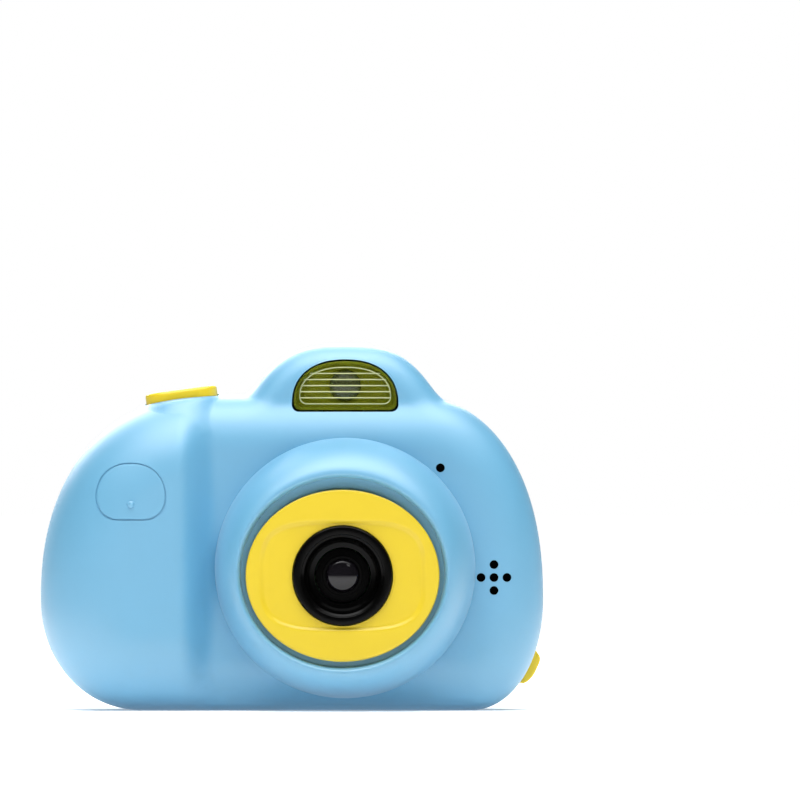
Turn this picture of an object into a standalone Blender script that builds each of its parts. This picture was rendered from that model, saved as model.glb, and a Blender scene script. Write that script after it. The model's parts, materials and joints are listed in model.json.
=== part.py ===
"""Kids digital camera: two moulded shells, a front lens, a rear screen with buttons, and what is inside.

Units are metres. Seen from the front, X runs to the right and Z up; Y runs from the lens to the screen.
The origin lies on the table, under the middle of the body. The grip is on the -X side.
"""

import math

import bmesh
import bpy
import numpy as np
from mathutils import Matrix, Vector

# Clearances
FIT_GAP = 0.0003        # between a piece and the seat that carries it
RUN_GAP = 0.0003        # around a piece that moves
SWITCH_GAP = 0.00005    # left between a pressed button and its switch

# Body outline seen from the front; places across the body are shares of its width
WIDTH = 0.0854
WAIST_HEIGHT = 0.0190       # where the body is widest
SHOULDER_HEIGHT = 0.0534
BASE_LEFT = 0.2986 * WIDTH      # end of the flat base on the grip side, from the middle
BASE_RIGHT = 0.3571 * WIDTH
SHOULDER_LEFT = 0.1639 * WIDTH  # where the grip shoulder starts to fall, from the middle
SHOULDER_RIGHT = 0.2342 * WIDTH
CORNER_POWER = 2.07         # 2 is an ellipse, more is squarer
SHOULDER_POWER = 2.22
HUMP_X = 0.1030 * WIDTH         # raised top over the lens
HUMP_HEIGHT = 0.0087
HUMP_HALF_WIDTH = 0.0159
HUMP_FILLET = 0.0022

# Shells, with depths measured from the parting plane
WALL = 0.0020
SEAM_LIP = 0.0012           # height of the rear shell's tongue
FRONT_STRAIGHT = 0.0060     # straight side wall before the rounding starts
FACE_DEPTH = 0.0135
FACE_ROUND = 0.0090
GRIP_DEPTH = 0.0185
GRIP_ROUND = 0.0130
GRIP_EDGE_X = 0.1874 * WIDTH    # middle of the slope between grip and face, left of the middle
GRIP_SLOPE = 0.0065         # length of that slope
HUMP_DEPTH = 0.0110
HUMP_ROUND = 0.0045
BLEND_POWER = 7.0           # how sharply the hump meets the face
REAR_DEPTH = 0.0123
REAR_STRAIGHT = 0.0065
REAR_ROUND = 0.0062
REAR_TAPER = 0.0006         # the rear sides lean in by this much
SHELL_POINTS = 52           # points round a shell

# Lens boss, trim and hood
LENS_X = 0.1013 * WIDTH
LENS_Z = 0.0230
BOSS_RADIUS = 0.0221
BOSS_SHIFT_X = 0.0004
BOSS_SHIFT_Z = 0.0012
LIP_DEPTH = 0.0240
LIP_HALF_X = 0.0180
LIP_HALF_Z = 0.0168
LIP_RISE = 0.0005
RECESS_DEPTH = 0.0026
TRIM_HALF_X = 0.0164
TRIM_HALF_Z = 0.01455
TRIM_THICK = 0.0018
TRIM_PANEL_X = 0.0274       # sunk panel of the trim
TRIM_PANEL_Z = 0.0181
TRIM_PANEL_CORNER = 0.0065
TRIM_PANEL_SINK = 0.0004
HOOD_RADIUS = 0.0084
HOOD_PROUD = 0.0004         # hood in front of the trim
HOOD_RIM = 0.0010
HOOD_BEVEL_RADIUS = 0.0066
HOOD_FLANGE = 0.0015
HOOD_FLANGE_THICK = 0.0012
BARREL_RADIUS = 0.0045
BARREL_LENGTH = 0.0085
GLASS_RADIUS = 0.0028
GLASS_BULGE = 0.0009
CAMERA_BOARD = 0.0216
BOARD_THICK = 0.0012
CAMERA_POST = 0.0090        # posts for the camera board, from the lens axis along x and z

# Flash
FLASH_X = 0.1060 * WIDTH
FLASH_Z = 0.0510            # lower edge
FLASH_WIDTH = 0.0175
FLASH_HEIGHT = 0.0083
FLASH_CORNER = 0.0012
FLASH_POWER = 2.3
FLASH_THICK = 0.0014
FLASH_SINK = 0.0002
REFLECTOR_DEPTH = 0.0032
REFLECTOR_WALL = 0.0008
FLASH_LED_RADIUS = 0.0027
FLASH_BOARD_X = 0.0120
FLASH_BOARD_Z = 0.0056

# Grip badge
BADGE_X = -0.3185 * WIDTH
BADGE_Z = 0.0372
BADGE_WIDTH = 0.0116
BADGE_HEIGHT = 0.00935
BADGE_POWER = 2.6
BADGE_THICK = 0.0009
BADGE_NUB = 0.0006
BADGE_NUB_DROP = 0.0022

# Sound holes
HOLE_RADIUS = 0.00075
MIC_X = 0.2951 * WIDTH
MIC_Z = 0.0412
MIC_RADIUS = 0.0020
MIC_THICK = 0.0016
SPEAKER_FROM_SIDE = 0.0084
SPEAKER_Z = 0.0226
SPEAKER_PITCH = 0.0022
SPEAKER_WIDTH = 0.0096
SPEAKER_HEIGHT = 0.0150
SPEAKER_THICK = 0.0032
SPEAKER_BACK = 0.0090       # back of the speaker's collar, from the parting plane
COLLAR_WALL = 0.0010

# Shutter button, along the slope of its pad
SHUTTER_X = -0.2190 * WIDTH
SHUTTER_Y = -0.0010
SHUTTER_Z = 0.0524
SHUTTER_TILT = math.radians(9.5)
SHUTTER_LENGTH = 0.0122
SHUTTER_WIDTH = 0.0070
SHUTTER_PROUD = 0.0015
SHUTTER_TRAVEL = 0.0008
PAD_MARGIN = 0.0011
PAD_WALL = 0.0024
SHUTTER_STEM = 0.0012
SHUTTER_STEM_LENGTH = 0.0010
SWITCH_SIZE = 0.0040
SHUTTER_SWITCH_THICK = 0.0022
SHUTTER_BOARD_X = 0.0190
SHUTTER_BOARD_Y = 0.0076
SHUTTER_POST_X = 0.0081

# Rear panel, screen and display
PANEL_RISE = 0.0006
PANEL_RIGHT = 0.4286 * WIDTH
PANEL_LEFT = 0.4052 * WIDTH
PANEL_LOW = 0.0041
PANEL_HIGH = 0.0450
PANEL_CORNER = 0.0050
PANEL_END = 0.0206          # length of the round end
PANEL_POWER = 2.45
SCREEN_X = 0.1347 * WIDTH
SCREEN_Z = 0.0246
SCREEN_WIDTH = 0.5246 * WIDTH
SCREEN_HEIGHT = 0.0353
SCREEN_CORNER = 0.0044
SCREEN_THICK = 0.0011
SCREEN_SINK = 0.0001
VIEW_MARGIN = 0.0011        # ledge under the screen window
DISPLAY_WIDTH = 0.5082 * WIDTH
DISPLAY_HEIGHT = 0.0328
DISPLAY_THICK = 0.0025

# Buttons on the back
PRESS_TRAVEL = 0.0005
BUTTON_PROUD = 0.0008
FLANGE_THICK = 0.0007
FLANGE_MARGIN = 0.0009
CAP_BEVEL = 0.00025
MODE_X = -0.2436 * WIDTH
MODE_Z = 0.0393
MODE_RADIUS = 0.0029
POWER_X = -0.2365 * WIDTH
POWER_Z = 0.0091
POWER_WIDTH = 0.0075
POWER_HEIGHT = 0.00465
DPAD_X = -0.2916 * WIDTH
DPAD_Z = 0.0243
DPAD_RADIUS = 0.0075
DPAD_RIB = 0.0010
DPAD_HUB = 0.0017
DPAD_RING_WIDTH = 0.0011
DPAD_RING_RISE = 0.0006
DPAD_SWITCH = 0.0049        # switches from the middle of the pad
DPAD_FLANGE_GAP = 0.00025   # half the gap between neighbouring flanges
NUB_RADIUS = 0.0012

# Rear camera and status lamp
REAR_LENS_X = 0.1007 * WIDTH
REAR_LENS_Z = 0.0513
REAR_LENS_RADIUS = 0.00325
REAR_LENS_THICK = 0.0012
REAR_LENS_SINK = 0.0003
REAR_BOSS_RADIUS = 0.0057
REAR_BOSS_RISE = 0.0017
REAR_CAMERA = 0.0068
REAR_CAMERA_DEPTH = 0.0042
STATUS_X = -0.2740 * WIDTH
STATUS_Z = 0.0452
STATUS_HOLE = 0.00056
STATUS_RADIUS = 0.0014
STATUS_THICK = 0.0022

# Case screws and their plugs
PLUG_RADIUS = 0.00212
PLUG_THICK = 0.0024
PLUG_SINK = 0.0001
SCREW_SPOTS = {"left": (-0.3618 * WIDTH, 0.0413), "right": (0.2377 * WIDTH, 0.0478)}
TUBE_WALL = 0.0009
TUBE_FLOOR = 0.0012
TUBE_REACH = 0.0033         # tube's end from the parting plane
HEAD_RADIUS = 0.0016
HEAD_THICK = 0.0012
SHANK_RADIUS = 0.0008
SCREW_LENGTH = 0.0075
POST_WALL = 0.0011

# Main board and what sits on it
BOARD_INSET = 0.0045
BOARD_TOP = 0.0430
BOARD_POST_INNER = -0.1639 * WIDTH
BOARD_POST_OUTER = -0.4200 * WIDTH
BOARD_POSTS = ((BOARD_POST_INNER, 0.0160), (BOARD_POST_INNER, 0.0335),
               (BOARD_POST_OUTER, 0.0150), (BOARD_POST_OUTER, 0.0300))
BATTERY_X = -0.2869 * WIDTH
BATTERY_Z = 0.0230
BATTERY_WIDTH = 0.1932 * WIDTH
BATTERY_HEIGHT = 0.0300
BATTERY_THICK = 0.0080
BATTERY_CORNER = 0.0016
FOAM_THICK = 0.0008

# Port cover and sockets on the right side
PORT_TOP = 0.0365
PORT_HINGE = 0.0325
PORT_LOW = 0.0046
PORT_FRONT = 0.0017         # edges of the cover, from the parting plane
PORT_BACK = 0.0066
COVER_PROUD = 0.0004
COVER_THICK = 0.0015
COVER_EDGE = 0.00035
TAB_PROUD = 0.0014
TAB_LENGTH = 0.0060
FRAME_THICK = 0.0038
FRAME_MARGIN = 0.0016
USB_Z = 0.0125
USB_WIDTH = 0.0076
USB_THICK = 0.0026
USB_DEPTH = 0.0056
CARD_Z = 0.0245
CARD_WIDTH = 0.0125
CARD_THICK = 0.0015
CARD_DEPTH = 0.0140
SLOT_MARGIN = 0.0004
SOCKET_WALL = 0.0004
PLUG_NUB = 0.0011           # how far the cover's plug reaches into the USB slot
ROOT_SIZE = 0.0022          # root that holds the cover's fixed end

# Facets of round pieces
SIDES = 20          # small turned pieces that show
TUBE_SIDES = 16     # screw tubes and their plugs
HIDDEN_SIDES = 8    # posts, bores and screws
BOARD_POINTS = 8    # points round a quarter of the main board

# Places that follow from the sizes above
PART_Y = (LIP_DEPTH - REAR_DEPTH - REAR_BOSS_RISE) / 2
BACK_Y = PART_Y + REAR_DEPTH
FLOOR_Y = BACK_Y - WALL
PANEL_Y = BACK_Y + PANEL_RISE
BOARD_BACK_Y = FLOOR_Y - DISPLAY_THICK - 2 * FIT_GAP
BOARD_FRONT_Y = BOARD_BACK_Y - BOARD_THICK
RECESS_Y = PART_Y - LIP_DEPTH + RECESS_DEPTH
RECESS_BACK_Y = RECESS_Y + WALL
TRIM_Y = RECESS_Y - FIT_GAP - TRIM_THICK
FLANGE_Y = FLOOR_Y - RUN_GAP - FLANGE_THICK
INNER_WALL = 1.15 * WALL    # measured along the depth, so that slopes stay thick enough
LENS = np.array([LENS_X, LENS_Z])
SPEAKER_X = WIDTH / 2 - SPEAKER_FROM_SIDE


def collection(name):
    """A new collection in the scene."""
    group = bpy.data.collections.new(name)
    bpy.context.scene.collection.children.link(group)
    return group


def material(name, colour, roughness, metallic=0.0, transmission=0.0):
    """A Principled material with the piece's colour and finish."""
    made = bpy.data.materials.new(name)
    made.use_nodes = True
    shader = made.node_tree.nodes["Principled BSDF"]
    shader.inputs["Base Color"].default_value = (*colour, 1.0)
    shader.inputs["Roughness"].default_value = roughness
    shader.inputs["Metallic"].default_value = metallic
    shader.inputs["Transmission Weight"].default_value = transmission
    made.diffuse_color = (*colour, 1.0)
    return made


for leftover in list(bpy.data.objects):
    bpy.data.objects.remove(leftover, do_unlink=True)

PARTS = collection("kids_digital_camera")
TOOLS = collection("cutters")
BLUE = material("blue_shell", (0.25, 0.54, 0.76), 0.45)
YELLOW = material("yellow_plastic", (0.88, 0.68, 0.06), 0.4)
BLACK = material("black_plastic", (0.012, 0.012, 0.014), 0.25)
CLEAR = material("clear_window", (0.62, 0.66, 0.36), 0.08, transmission=0.6)
GLASS = material("dark_glass", (0.02, 0.02, 0.03), 0.03)
SILVER = material("silver_reflector", (0.5, 0.52, 0.3), 0.25, metallic=0.6)
LAMP = material("lamp_dark", (0.10, 0.10, 0.06), 0.15)
RUBBER = material("yellow_rubber", (0.80, 0.66, 0.08), 0.65)
GREEN = material("circuit_board", (0.03, 0.16, 0.07), 0.5)
STEEL = material("steel", (0.62, 0.62, 0.64), 0.3, metallic=1.0)
FOIL = material("battery_wrap", (0.45, 0.47, 0.5), 0.35, metallic=0.4)
FOAM = material("foam", (0.08, 0.08, 0.08), 0.9)
SCREEN = material("display", (0.75, 0.8, 0.85), 0.2)


def finish(obj, look):
    """Put a piece in the parts collection with its material and smooth shading."""
    PARTS.objects.link(obj)
    obj.data.materials.clear()
    obj.data.materials.append(look)
    obj.data.shade_smooth()
    obj.data.set_sharp_from_angle(angle=math.radians(35))
    return obj


def boolean(target, tool, operation):
    """Cut the tool from the target, or join it on."""
    tool.hide_render = True
    tool.display_type = "WIRE"
    TOOLS.objects.link(tool)
    step = target.modifiers.new(tool.name, "BOOLEAN")
    step.operation = operation
    step.object = tool
    step.solver = "EXACT"


def cut(target, *tools):
    for tool in tools:
        boolean(target, tool, "DIFFERENCE")


def join(target, *tools):
    for tool in tools:
        boolean(target, tool, "UNION")


def mesh_object(name, bm, frame=Matrix()):
    """A new object from bmesh data, with its faces turned outwards."""
    bmesh.ops.recalc_face_normals(bm, faces=bm.faces)
    mesh = bpy.data.meshes.new(name)
    bm.to_mesh(mesh)
    bm.free()
    obj = bpy.data.objects.new(name, mesh)
    obj.matrix_world = frame
    return obj


def facing_front(x, z, y=0.0):
    """A frame whose third axis points to the front, -Y, and whose second axis is up."""
    return Matrix.Translation((x, y, z)) @ Matrix.Rotation(math.pi / 2, 4, "X")


def along_depth(near, far):
    """World y limits, front first, as limits along a front-facing frame's third axis."""
    return -far, -near


def prism(name, outline, limits, frame, bevel=0.0):
    """An outline extruded between two limits along the frame's third axis."""
    low, high = limits
    curve = bpy.data.curves.new(name, "CURVE")
    curve.dimensions = "2D"
    curve.fill_mode = "BOTH"
    curve.extrude = (high - low) / 2 - bevel
    curve.bevel_depth = bevel
    curve.bevel_resolution = 0
    curve.offset = -bevel
    spline = curve.splines.new("POLY")
    spline.points.add(len(outline) - 1)
    for point, (u, v) in zip(spline.points, outline):
        point.co = (u, v, 0.0, 1.0)
    spline.use_cyclic_u = True
    shape = bpy.data.objects.new(name + "_outline", curve)
    shape.matrix_world = frame @ Matrix.Translation((0.0, 0.0, (low + high) / 2))
    bpy.context.scene.collection.objects.link(shape)
    bpy.context.view_layer.update()
    solid = shape.evaluated_get(bpy.context.evaluated_depsgraph_get())
    bm = bmesh.new()
    bm.from_mesh(bpy.data.meshes.new_from_object(solid))
    bmesh.ops.remove_doubles(bm, verts=bm.verts, dist=1e-6)
    place = shape.matrix_world.copy()
    bpy.data.objects.remove(shape, do_unlink=True)
    return mesh_object(name, bm, place)


def plate(name, outline, near, far, x, z, bevel=0.0):
    """An outline in the x-z plane, extruded from y = near to y = far."""
    return prism(name, outline, along_depth(near, far), facing_front(x, z), bevel)


def rods(name, spots, radius, near, far, sides=SIDES):
    """Round rods along Y at each (x, z) spot, as one mesh."""
    bm = bmesh.new()
    for x, z in spots:
        place = facing_front(x, z, (near + far) / 2)
        bmesh.ops.create_cone(
            bm, cap_ends=True, segments=sides, radius1=radius, radius2=radius,
            depth=far - near, matrix=place)
    return mesh_object(name, bm)


def block(name, low, high):
    """A box between two corners."""
    low, high = Vector(low), Vector(high)
    bm = bmesh.new()
    bmesh.ops.create_cube(bm, size=1.0)
    for vert in bm.verts:
        vert.co = (low + high) / 2 + vert.co * (high - low)
    return mesh_object(name, bm)


def turned(name, profile, x, z, closed=False, sides=SIDES):
    """A profile of (radius, y) points, front to back on its outer side, turned about the Y direction."""
    bm = bmesh.new()
    verts = [bm.verts.new((radius, 0.0, -y)) for radius, y in profile]
    pairs = list(zip(verts, verts[1:]))
    if closed:
        pairs.append((verts[-1], verts[0]))
    for pair in pairs:
        bm.edges.new(pair)
    mesh = bpy.data.meshes.new(name)
    bm.to_mesh(mesh)
    bm.free()
    obj = bpy.data.objects.new(name, mesh)
    obj.matrix_world = facing_front(x, z)
    screw = obj.modifiers.new("turn", "SCREW")
    screw.axis = "Z"
    screw.angle = 2 * math.pi
    screw.steps = sides
    screw.render_steps = sides
    screw.use_merge_vertices = True
    screw.merge_threshold = 1e-6
    screw.use_smooth_shade = True
    return obj


def loft(name, loops, ring=False):
    """Skin a row of loops with equal point counts; the ends are capped unless the row closes on itself."""
    bm = bmesh.new()
    rows = [[bm.verts.new(point) for point in loop] for loop in loops]
    neighbours = list(zip(rows, rows[1:]))
    if ring:
        neighbours.append((rows[-1], rows[0]))
    count = len(rows[0])
    for row, following in neighbours:
        for i in range(count):
            j = (i + 1) % count
            bm.faces.new((row[i], row[j], following[j], following[i]))
    if not ring:
        bm.faces.new(rows[0])
        bm.faces.new(rows[-1])
    return mesh_object(name, bm)


def arc(centre, radius, start, end, count):
    """Points along a circular arc, angles in degrees."""
    angles = np.radians(np.linspace(start, end, count))
    return [(centre[0] + radius * math.cos(a), centre[1] + radius * math.sin(a)) for a in angles]


def rounded_rectangle(width, height, corner, count=5):
    x, z = width / 2 - corner, height / 2 - corner
    corners = ((x, z, 0), (-x, z, 90), (-x, -z, 180), (x, -z, 270))
    return [p for cx, cz, start in corners for p in arc((cx, cz), corner, start, start + 90, count)]


def oblong(length, width, count=9):
    """A rectangle with round ends."""
    radius, x = width / 2, (length - width) / 2
    return arc((x, 0), radius, -90, 90, count) + arc((-x, 0), radius, 90, 270, count)


def superellipse(half_x, half_z, power, start, end, count):
    """Points of a superellipse about the origin, angles in degrees."""
    angles = np.radians(np.linspace(start, end, count))
    cosine, sine = np.cos(angles), np.sin(angles)
    x = half_x * np.sign(cosine) * np.abs(cosine) ** (2 / power)
    z = half_z * np.sign(sine) * np.abs(sine) ** (2 / power)
    return np.stack([x, z], axis=1)


def ellipse(half_x, half_z, count=40):
    return [tuple(p) for p in superellipse(half_x, half_z, 2.0, 0, 360, count + 1)[:-1]]


def d_outline(width, height, corner, power, grow=0.0, count=17):
    """A flat base with small corners under a domed top; v = 0 is the base before growing."""
    half = width / 2 + grow
    spring = corner - grow
    top = superellipse(half, height + grow - spring, power, 0, 180, count) + (0.0, spring)
    low_left = arc((-half + corner, spring), corner, 180, 270, 4)
    low_right = arc((half - corner, spring), corner, 270, 360, 4)
    return [tuple(p) for p in top] + low_left[1:] + low_right[:-1]


def pad_sector(radius, side_gap, inner, turn, count=9):
    """One quarter of the direction pad, its sides a set distance from the pad's diagonals."""
    outer_skip = math.degrees(math.asin(side_gap / radius))
    inner_skip = math.degrees(math.asin(side_gap / inner))
    outer = arc((0, 0), radius, turn - 45 + outer_skip, turn + 45 - outer_skip, count)
    return outer + arc((0, 0), inner, turn + 45 - inner_skip, turn - 45 + inner_skip, 4)


# Body outline and depth

def resample(points, count):
    """Points spread along a closed line, closer together where it turns."""
    closed = np.vstack([points, points[:1]])
    steps = np.diff(closed, axis=0)
    lengths = np.hypot(steps[:, 0], steps[:, 1])
    headings = np.unwrap(np.arctan2(steps[:, 1], steps[:, 0]))
    turns = np.abs(np.diff(np.append(headings, headings[0] + 2 * math.pi)))
    measure = lengths / lengths.sum() + turns / turns.sum()
    along = np.concatenate([[0.0], np.cumsum(measure)])
    wanted = np.linspace(0.0, along[-1], count, endpoint=False)
    return np.stack([np.interp(wanted, along, closed[:, i]) for i in (0, 1)], axis=1)


def outline_quarters(inwards, count):
    """The four quarters of the body without its hump, drawn in by a distance, from the right waist on."""
    half = WIDTH / 2 - inwards
    rise = SHOULDER_HEIGHT - WAIST_HEIGHT - inwards
    drop = WAIST_HEIGHT - inwards
    quarters = (
        (SHOULDER_RIGHT, half - SHOULDER_RIGHT, rise, SHOULDER_POWER, 0),
        (-SHOULDER_LEFT, half - SHOULDER_LEFT, rise, SHOULDER_POWER, 90),
        (-BASE_LEFT, half - BASE_LEFT, drop, CORNER_POWER, 180),
        (BASE_RIGHT, half - BASE_RIGHT, drop, CORNER_POWER, 270),
    )
    runs = []
    for centre_x, half_x, half_z, power, start in quarters:
        run = superellipse(half_x, half_z, power, start, start + 90, count)
        runs.append(run + (centre_x, WAIST_HEIGHT))
    return runs


def plain_outline():
    """The body without its hump, anticlockwise from the right waist."""
    corners = np.vstack(outline_quarters(0.0, 40))
    closed = np.vstack([corners, corners[:1]])
    lengths = np.hypot(*np.diff(closed, axis=0).T)
    along = np.concatenate([[0.0], np.cumsum(lengths)])
    wanted = np.linspace(0.0, along[-1], 480, endpoint=False)
    return np.stack([np.interp(wanted, along, closed[:, i]) for i in (0, 1)], axis=1)


def smooth_max(a, b, fillet):
    blend = np.maximum(fillet - np.abs(a - b), 0.0) / fillet
    return np.maximum(a, b) + blend * blend * fillet / 4


def humped_outline():
    """The whole silhouette."""
    points = plain_outline()
    share = np.abs(points[:, 0] - HUMP_X) / HUMP_HALF_WIDTH
    hump = SHOULDER_HEIGHT + HUMP_HEIGHT * (1.0 - share ** 3)
    upper = points[:, 1] > WAIST_HEIGHT
    points[upper, 1] = smooth_max(points[:, 1], hump, HUMP_FILLET)[upper]
    return points


PLAIN = plain_outline()
HUMPED = humped_outline()


def outward(points):
    """Outward normals of a closed anticlockwise line."""
    along = np.roll(points, -1, axis=0) - np.roll(points, 1, axis=0)
    normals = np.stack([along[:, 1], -along[:, 0]], axis=1)
    return normals / np.linalg.norm(normals, axis=1, keepdims=True)


def inset(points, line):
    """How far points lie inside a closed line, 0 outside it."""
    start = line[None, :, :]
    step = (np.roll(line, -1, axis=0) - line)[None, :, :]
    offset = points[:, None, :] - start
    share = np.clip((offset * step).sum(2) / (step * step).sum(2), 0.0, 1.0)
    distance = np.linalg.norm(offset - share[:, :, None] * step, axis=2).min(axis=1)
    x, z = points[:, 0:1], points[:, 1:2]
    x0, z0 = line[:, 0][None, :], line[:, 1][None, :]
    x1, z1 = np.roll(line, -1, axis=0).T[:, None, :]
    spans = (z0 > z) != (z1 > z)
    rise = np.where(spans, z1 - z0, 1.0)
    crossings = spans & (x < x0 + (z - z0) * (x1 - x0) / rise)
    return np.where(crossings.sum(axis=1) % 2 == 1, distance, 0.0)


def quarter_round(share):
    return np.sqrt(1.0 - (1.0 - np.clip(share, 0.0, 1.0)) ** 2)


def smooth_step(share):
    share = np.clip(share, 0.0, 1.0)
    return share * share * (3.0 - 2.0 * share)


def front_depth(points):
    """Depth of the front surface in front of the parting plane, without the lens boss."""
    points = np.atleast_2d(points)
    inside = inset(points, PLAIN)
    face = (FACE_DEPTH - FRONT_STRAIGHT) * quarter_round(inside / FACE_ROUND)
    grip = (GRIP_DEPTH - FRONT_STRAIGHT) * quarter_round(inside / GRIP_ROUND)
    from_grip = (points[:, 0] + GRIP_EDGE_X) / GRIP_SLOPE + 0.5
    body = grip + (face - grip) * smooth_step(from_grip)
    hump = (HUMP_DEPTH - FRONT_STRAIGHT) * quarter_round(inset(points, HUMPED) / HUMP_ROUND)
    return FRONT_STRAIGHT + (body ** BLEND_POWER + hump ** BLEND_POWER) ** (1 / BLEND_POWER)


def in_front(points, depth):
    """Points of the x-z plane at a depth in front of the parting plane."""
    depth = np.broadcast_to(depth, len(points))
    return np.stack([points[:, 0], PART_Y - depth, points[:, 1]], axis=1)


def front_y(x, z):
    """Where the front surface lies at one place."""
    return PART_Y - float(front_depth([(x, z)])[0])


def rear_depth(points):
    """Depth of the plain rear surface behind the parting plane."""
    rounding = quarter_round(inset(np.atleast_2d(points), HUMPED) / REAR_ROUND)
    return REAR_STRAIGHT + (REAR_DEPTH - REAR_STRAIGHT) * rounding


def footprint(x, z, radius):
    """Points round the foot of a post."""
    return np.array(arc((x, z), radius, 0, 360, 13))


def front_post_y(x, z, radius):
    """Where a post on the inside of the front can start without reaching its outside."""
    return PART_Y - float(front_depth(footprint(x, z, radius)).min()) + WALL / 2


def rear_post_y(x, z, radius):
    """Where a post on the inside of the back has to end to stay below its outside."""
    return PART_Y + float(rear_depth(footprint(x, z, radius)).min()) - WALL / 4


# Front shell

def front_shell_solid():
    """Loft the front shell as one ring of loops: outside, lens boss, recess, lens hole, inside, seam."""
    line = resample(HUMPED, SHELL_POINTS)
    normal = outward(line)
    ray = line - LENS
    angle = np.arctan2(ray[:, 1], ray[:, 0])
    reach = np.linalg.norm(ray, axis=1)
    along = np.stack([np.cos(angle), np.sin(angle)], axis=1)

    def at(radius):
        return LENS + along * np.reshape(radius, (-1, 1))

    def oval(half_x, half_z):
        return half_x * half_z / np.hypot(half_z * along[:, 0], half_x * along[:, 1])

    shift = along @ np.array([BOSS_SHIFT_X, BOSS_SHIFT_Z])
    shift_square = BOSS_SHIFT_X ** 2 + BOSS_SHIFT_Z ** 2
    base = shift + np.sqrt(BOSS_RADIUS ** 2 - shift_square + shift ** 2)
    base = np.minimum(base, reach - WALL / 2)
    lip = oval(LIP_HALF_X, LIP_HALF_Z) + LIP_RISE * along[:, 1]
    floor = oval(TRIM_HALF_X + FIT_GAP, TRIM_HALF_Z + FIT_GAP)
    crease = at(base)
    crease_depth = front_depth(crease)
    floor_depth = LIP_DEPTH - RECESS_DEPTH
    hole = HOOD_RADIUS + FIT_GAP

    loops = [in_front(line, FIT_GAP / 2), in_front(line, FRONT_STRAIGHT)]
    for share in (np.arange(1, 8) / 8) ** 1.6:
        points = line + share * (crease - line)
        loops.append(in_front(points, front_depth(points)))
    loops.append(in_front(crease, crease_depth))
    for turn in np.radians((22, 45, 67, 90)):
        radius = lip + (base - lip) * math.cos(turn)
        loops.append(in_front(at(radius), crease_depth + (LIP_DEPTH - crease_depth) * math.sin(turn)))
    loops.append(in_front(at((lip + floor) / 2), LIP_DEPTH - 0.3 * RECESS_DEPTH))
    loops.append(in_front(at(floor), floor_depth))
    loops.append(in_front(at(np.full(len(line), hole)), floor_depth))
    loops.append(in_front(at(np.full(len(line), hole)), floor_depth - WALL))
    loops.append(in_front(at(lip + WALL / 3), floor_depth - WALL))
    inner_crease = at(base - INNER_WALL)
    loops.append(in_front(inner_crease, front_depth(inner_crease) - INNER_WALL))
    inner_line = line - normal * WALL
    for share in (0.25, 0.5, 0.72, 0.88, 1.0):
        points = inner_crease + share * (inner_line - inner_crease)
        loops.append(in_front(points, front_depth(points) - INNER_WALL))
    seam_line = line - normal * (WALL / 2)
    loops.append(in_front(inner_line, SEAM_LIP + FIT_GAP))
    loops.append(in_front(seam_line, SEAM_LIP + FIT_GAP))
    loops.append(in_front(seam_line, FIT_GAP / 2))
    return loft("front_shell", loops, ring=True)


def surface_patch(name, outline, x, z, outside, inside):
    """A slab that follows the front surface, from outside it to inside it, under an outline."""
    rim = np.array(outline)
    middle = rim.mean(axis=0)
    shares = (0.35, 0.7, 1.0)
    front = [middle + (rim - middle) * share + (x, z) for share in shares]
    loops = [in_front(points, front_depth(points) + outside) for points in front]
    loops += [in_front(points, front_depth(points) - inside) for points in reversed(front)]
    return loft(name, loops)


def badge_outline(grow=0.0):
    outline = d_outline(BADGE_WIDTH, BADGE_HEIGHT, BADGE_WIDTH / 5, BADGE_POWER, grow, 13)
    return [(u, v - BADGE_HEIGHT / 2) for u, v in outline]


def shutter_frame(drop=0.0):
    """A frame on the pad of the shutter button, third axis out of the pad, moved down into it by drop."""
    place = Matrix.Translation((SHUTTER_X, SHUTTER_Y, SHUTTER_Z))
    return place @ Matrix.Rotation(-SHUTTER_TILT, 4, "Y") @ Matrix.Translation((0, 0, -drop))


SHUTTER_FLANGE_LOW = PAD_WALL + RUN_GAP + FLANGE_THICK
SHUTTER_SWITCH_TOP = SHUTTER_FLANGE_LOW + SHUTTER_STEM_LENGTH + SHUTTER_TRAVEL + SWITCH_GAP
SHUTTER_BOARD_TOP = SHUTTER_SWITCH_TOP + SHUTTER_SWITCH_THICK + FIT_GAP
SHUTTER_POST_SPOTS = ((-SHUTTER_POST_X, 0.0), (SHUTTER_POST_X, 0.0))


def upright_rods(name, spots, radius, low, high, sides=SIDES):
    """Round rods square to the shutter's pad; low and high are measured up from the pad."""
    bm = bmesh.new()
    for u, v in spots:
        bmesh.ops.create_cone(
            bm, cap_ends=True, segments=sides, radius1=radius, radius2=radius, depth=high - low,
            matrix=Matrix.Translation((u, v, (low + high) / 2)))
    return mesh_object(name, bm, shutter_frame())


def speaker_spots():
    pitch = SPEAKER_PITCH
    offsets = ((0, 0), (pitch, 0), (-pitch, 0), (0, pitch), (0, -pitch))
    return [(SPEAKER_X + u, SPEAKER_Z + v) for u, v in offsets]


def camera_post_spots():
    return [(LENS_X + CAMERA_POST, LENS_Z + CAMERA_POST), (LENS_X - CAMERA_POST, LENS_Z - CAMERA_POST)]


POST_BORE = SHANK_RADIUS + FIT_GAP
TUBE_END_Y = PART_Y + TUBE_REACH
HOOD_BACK_Y = RECESS_BACK_Y + FIT_GAP + HOOD_FLANGE_THICK
BARREL_FRONT_Y = RECESS_BACK_Y - WALL / 2
BARREL_BACK_Y = BARREL_FRONT_Y + BARREL_LENGTH
CAMERA_BOARD_Y = BARREL_BACK_Y + FIT_GAP
MIC_Y = front_y(MIC_X, MIC_Z) + INNER_WALL + FIT_GAP
SPEAKER_Y = PART_Y - SPEAKER_BACK + FIT_GAP


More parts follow.
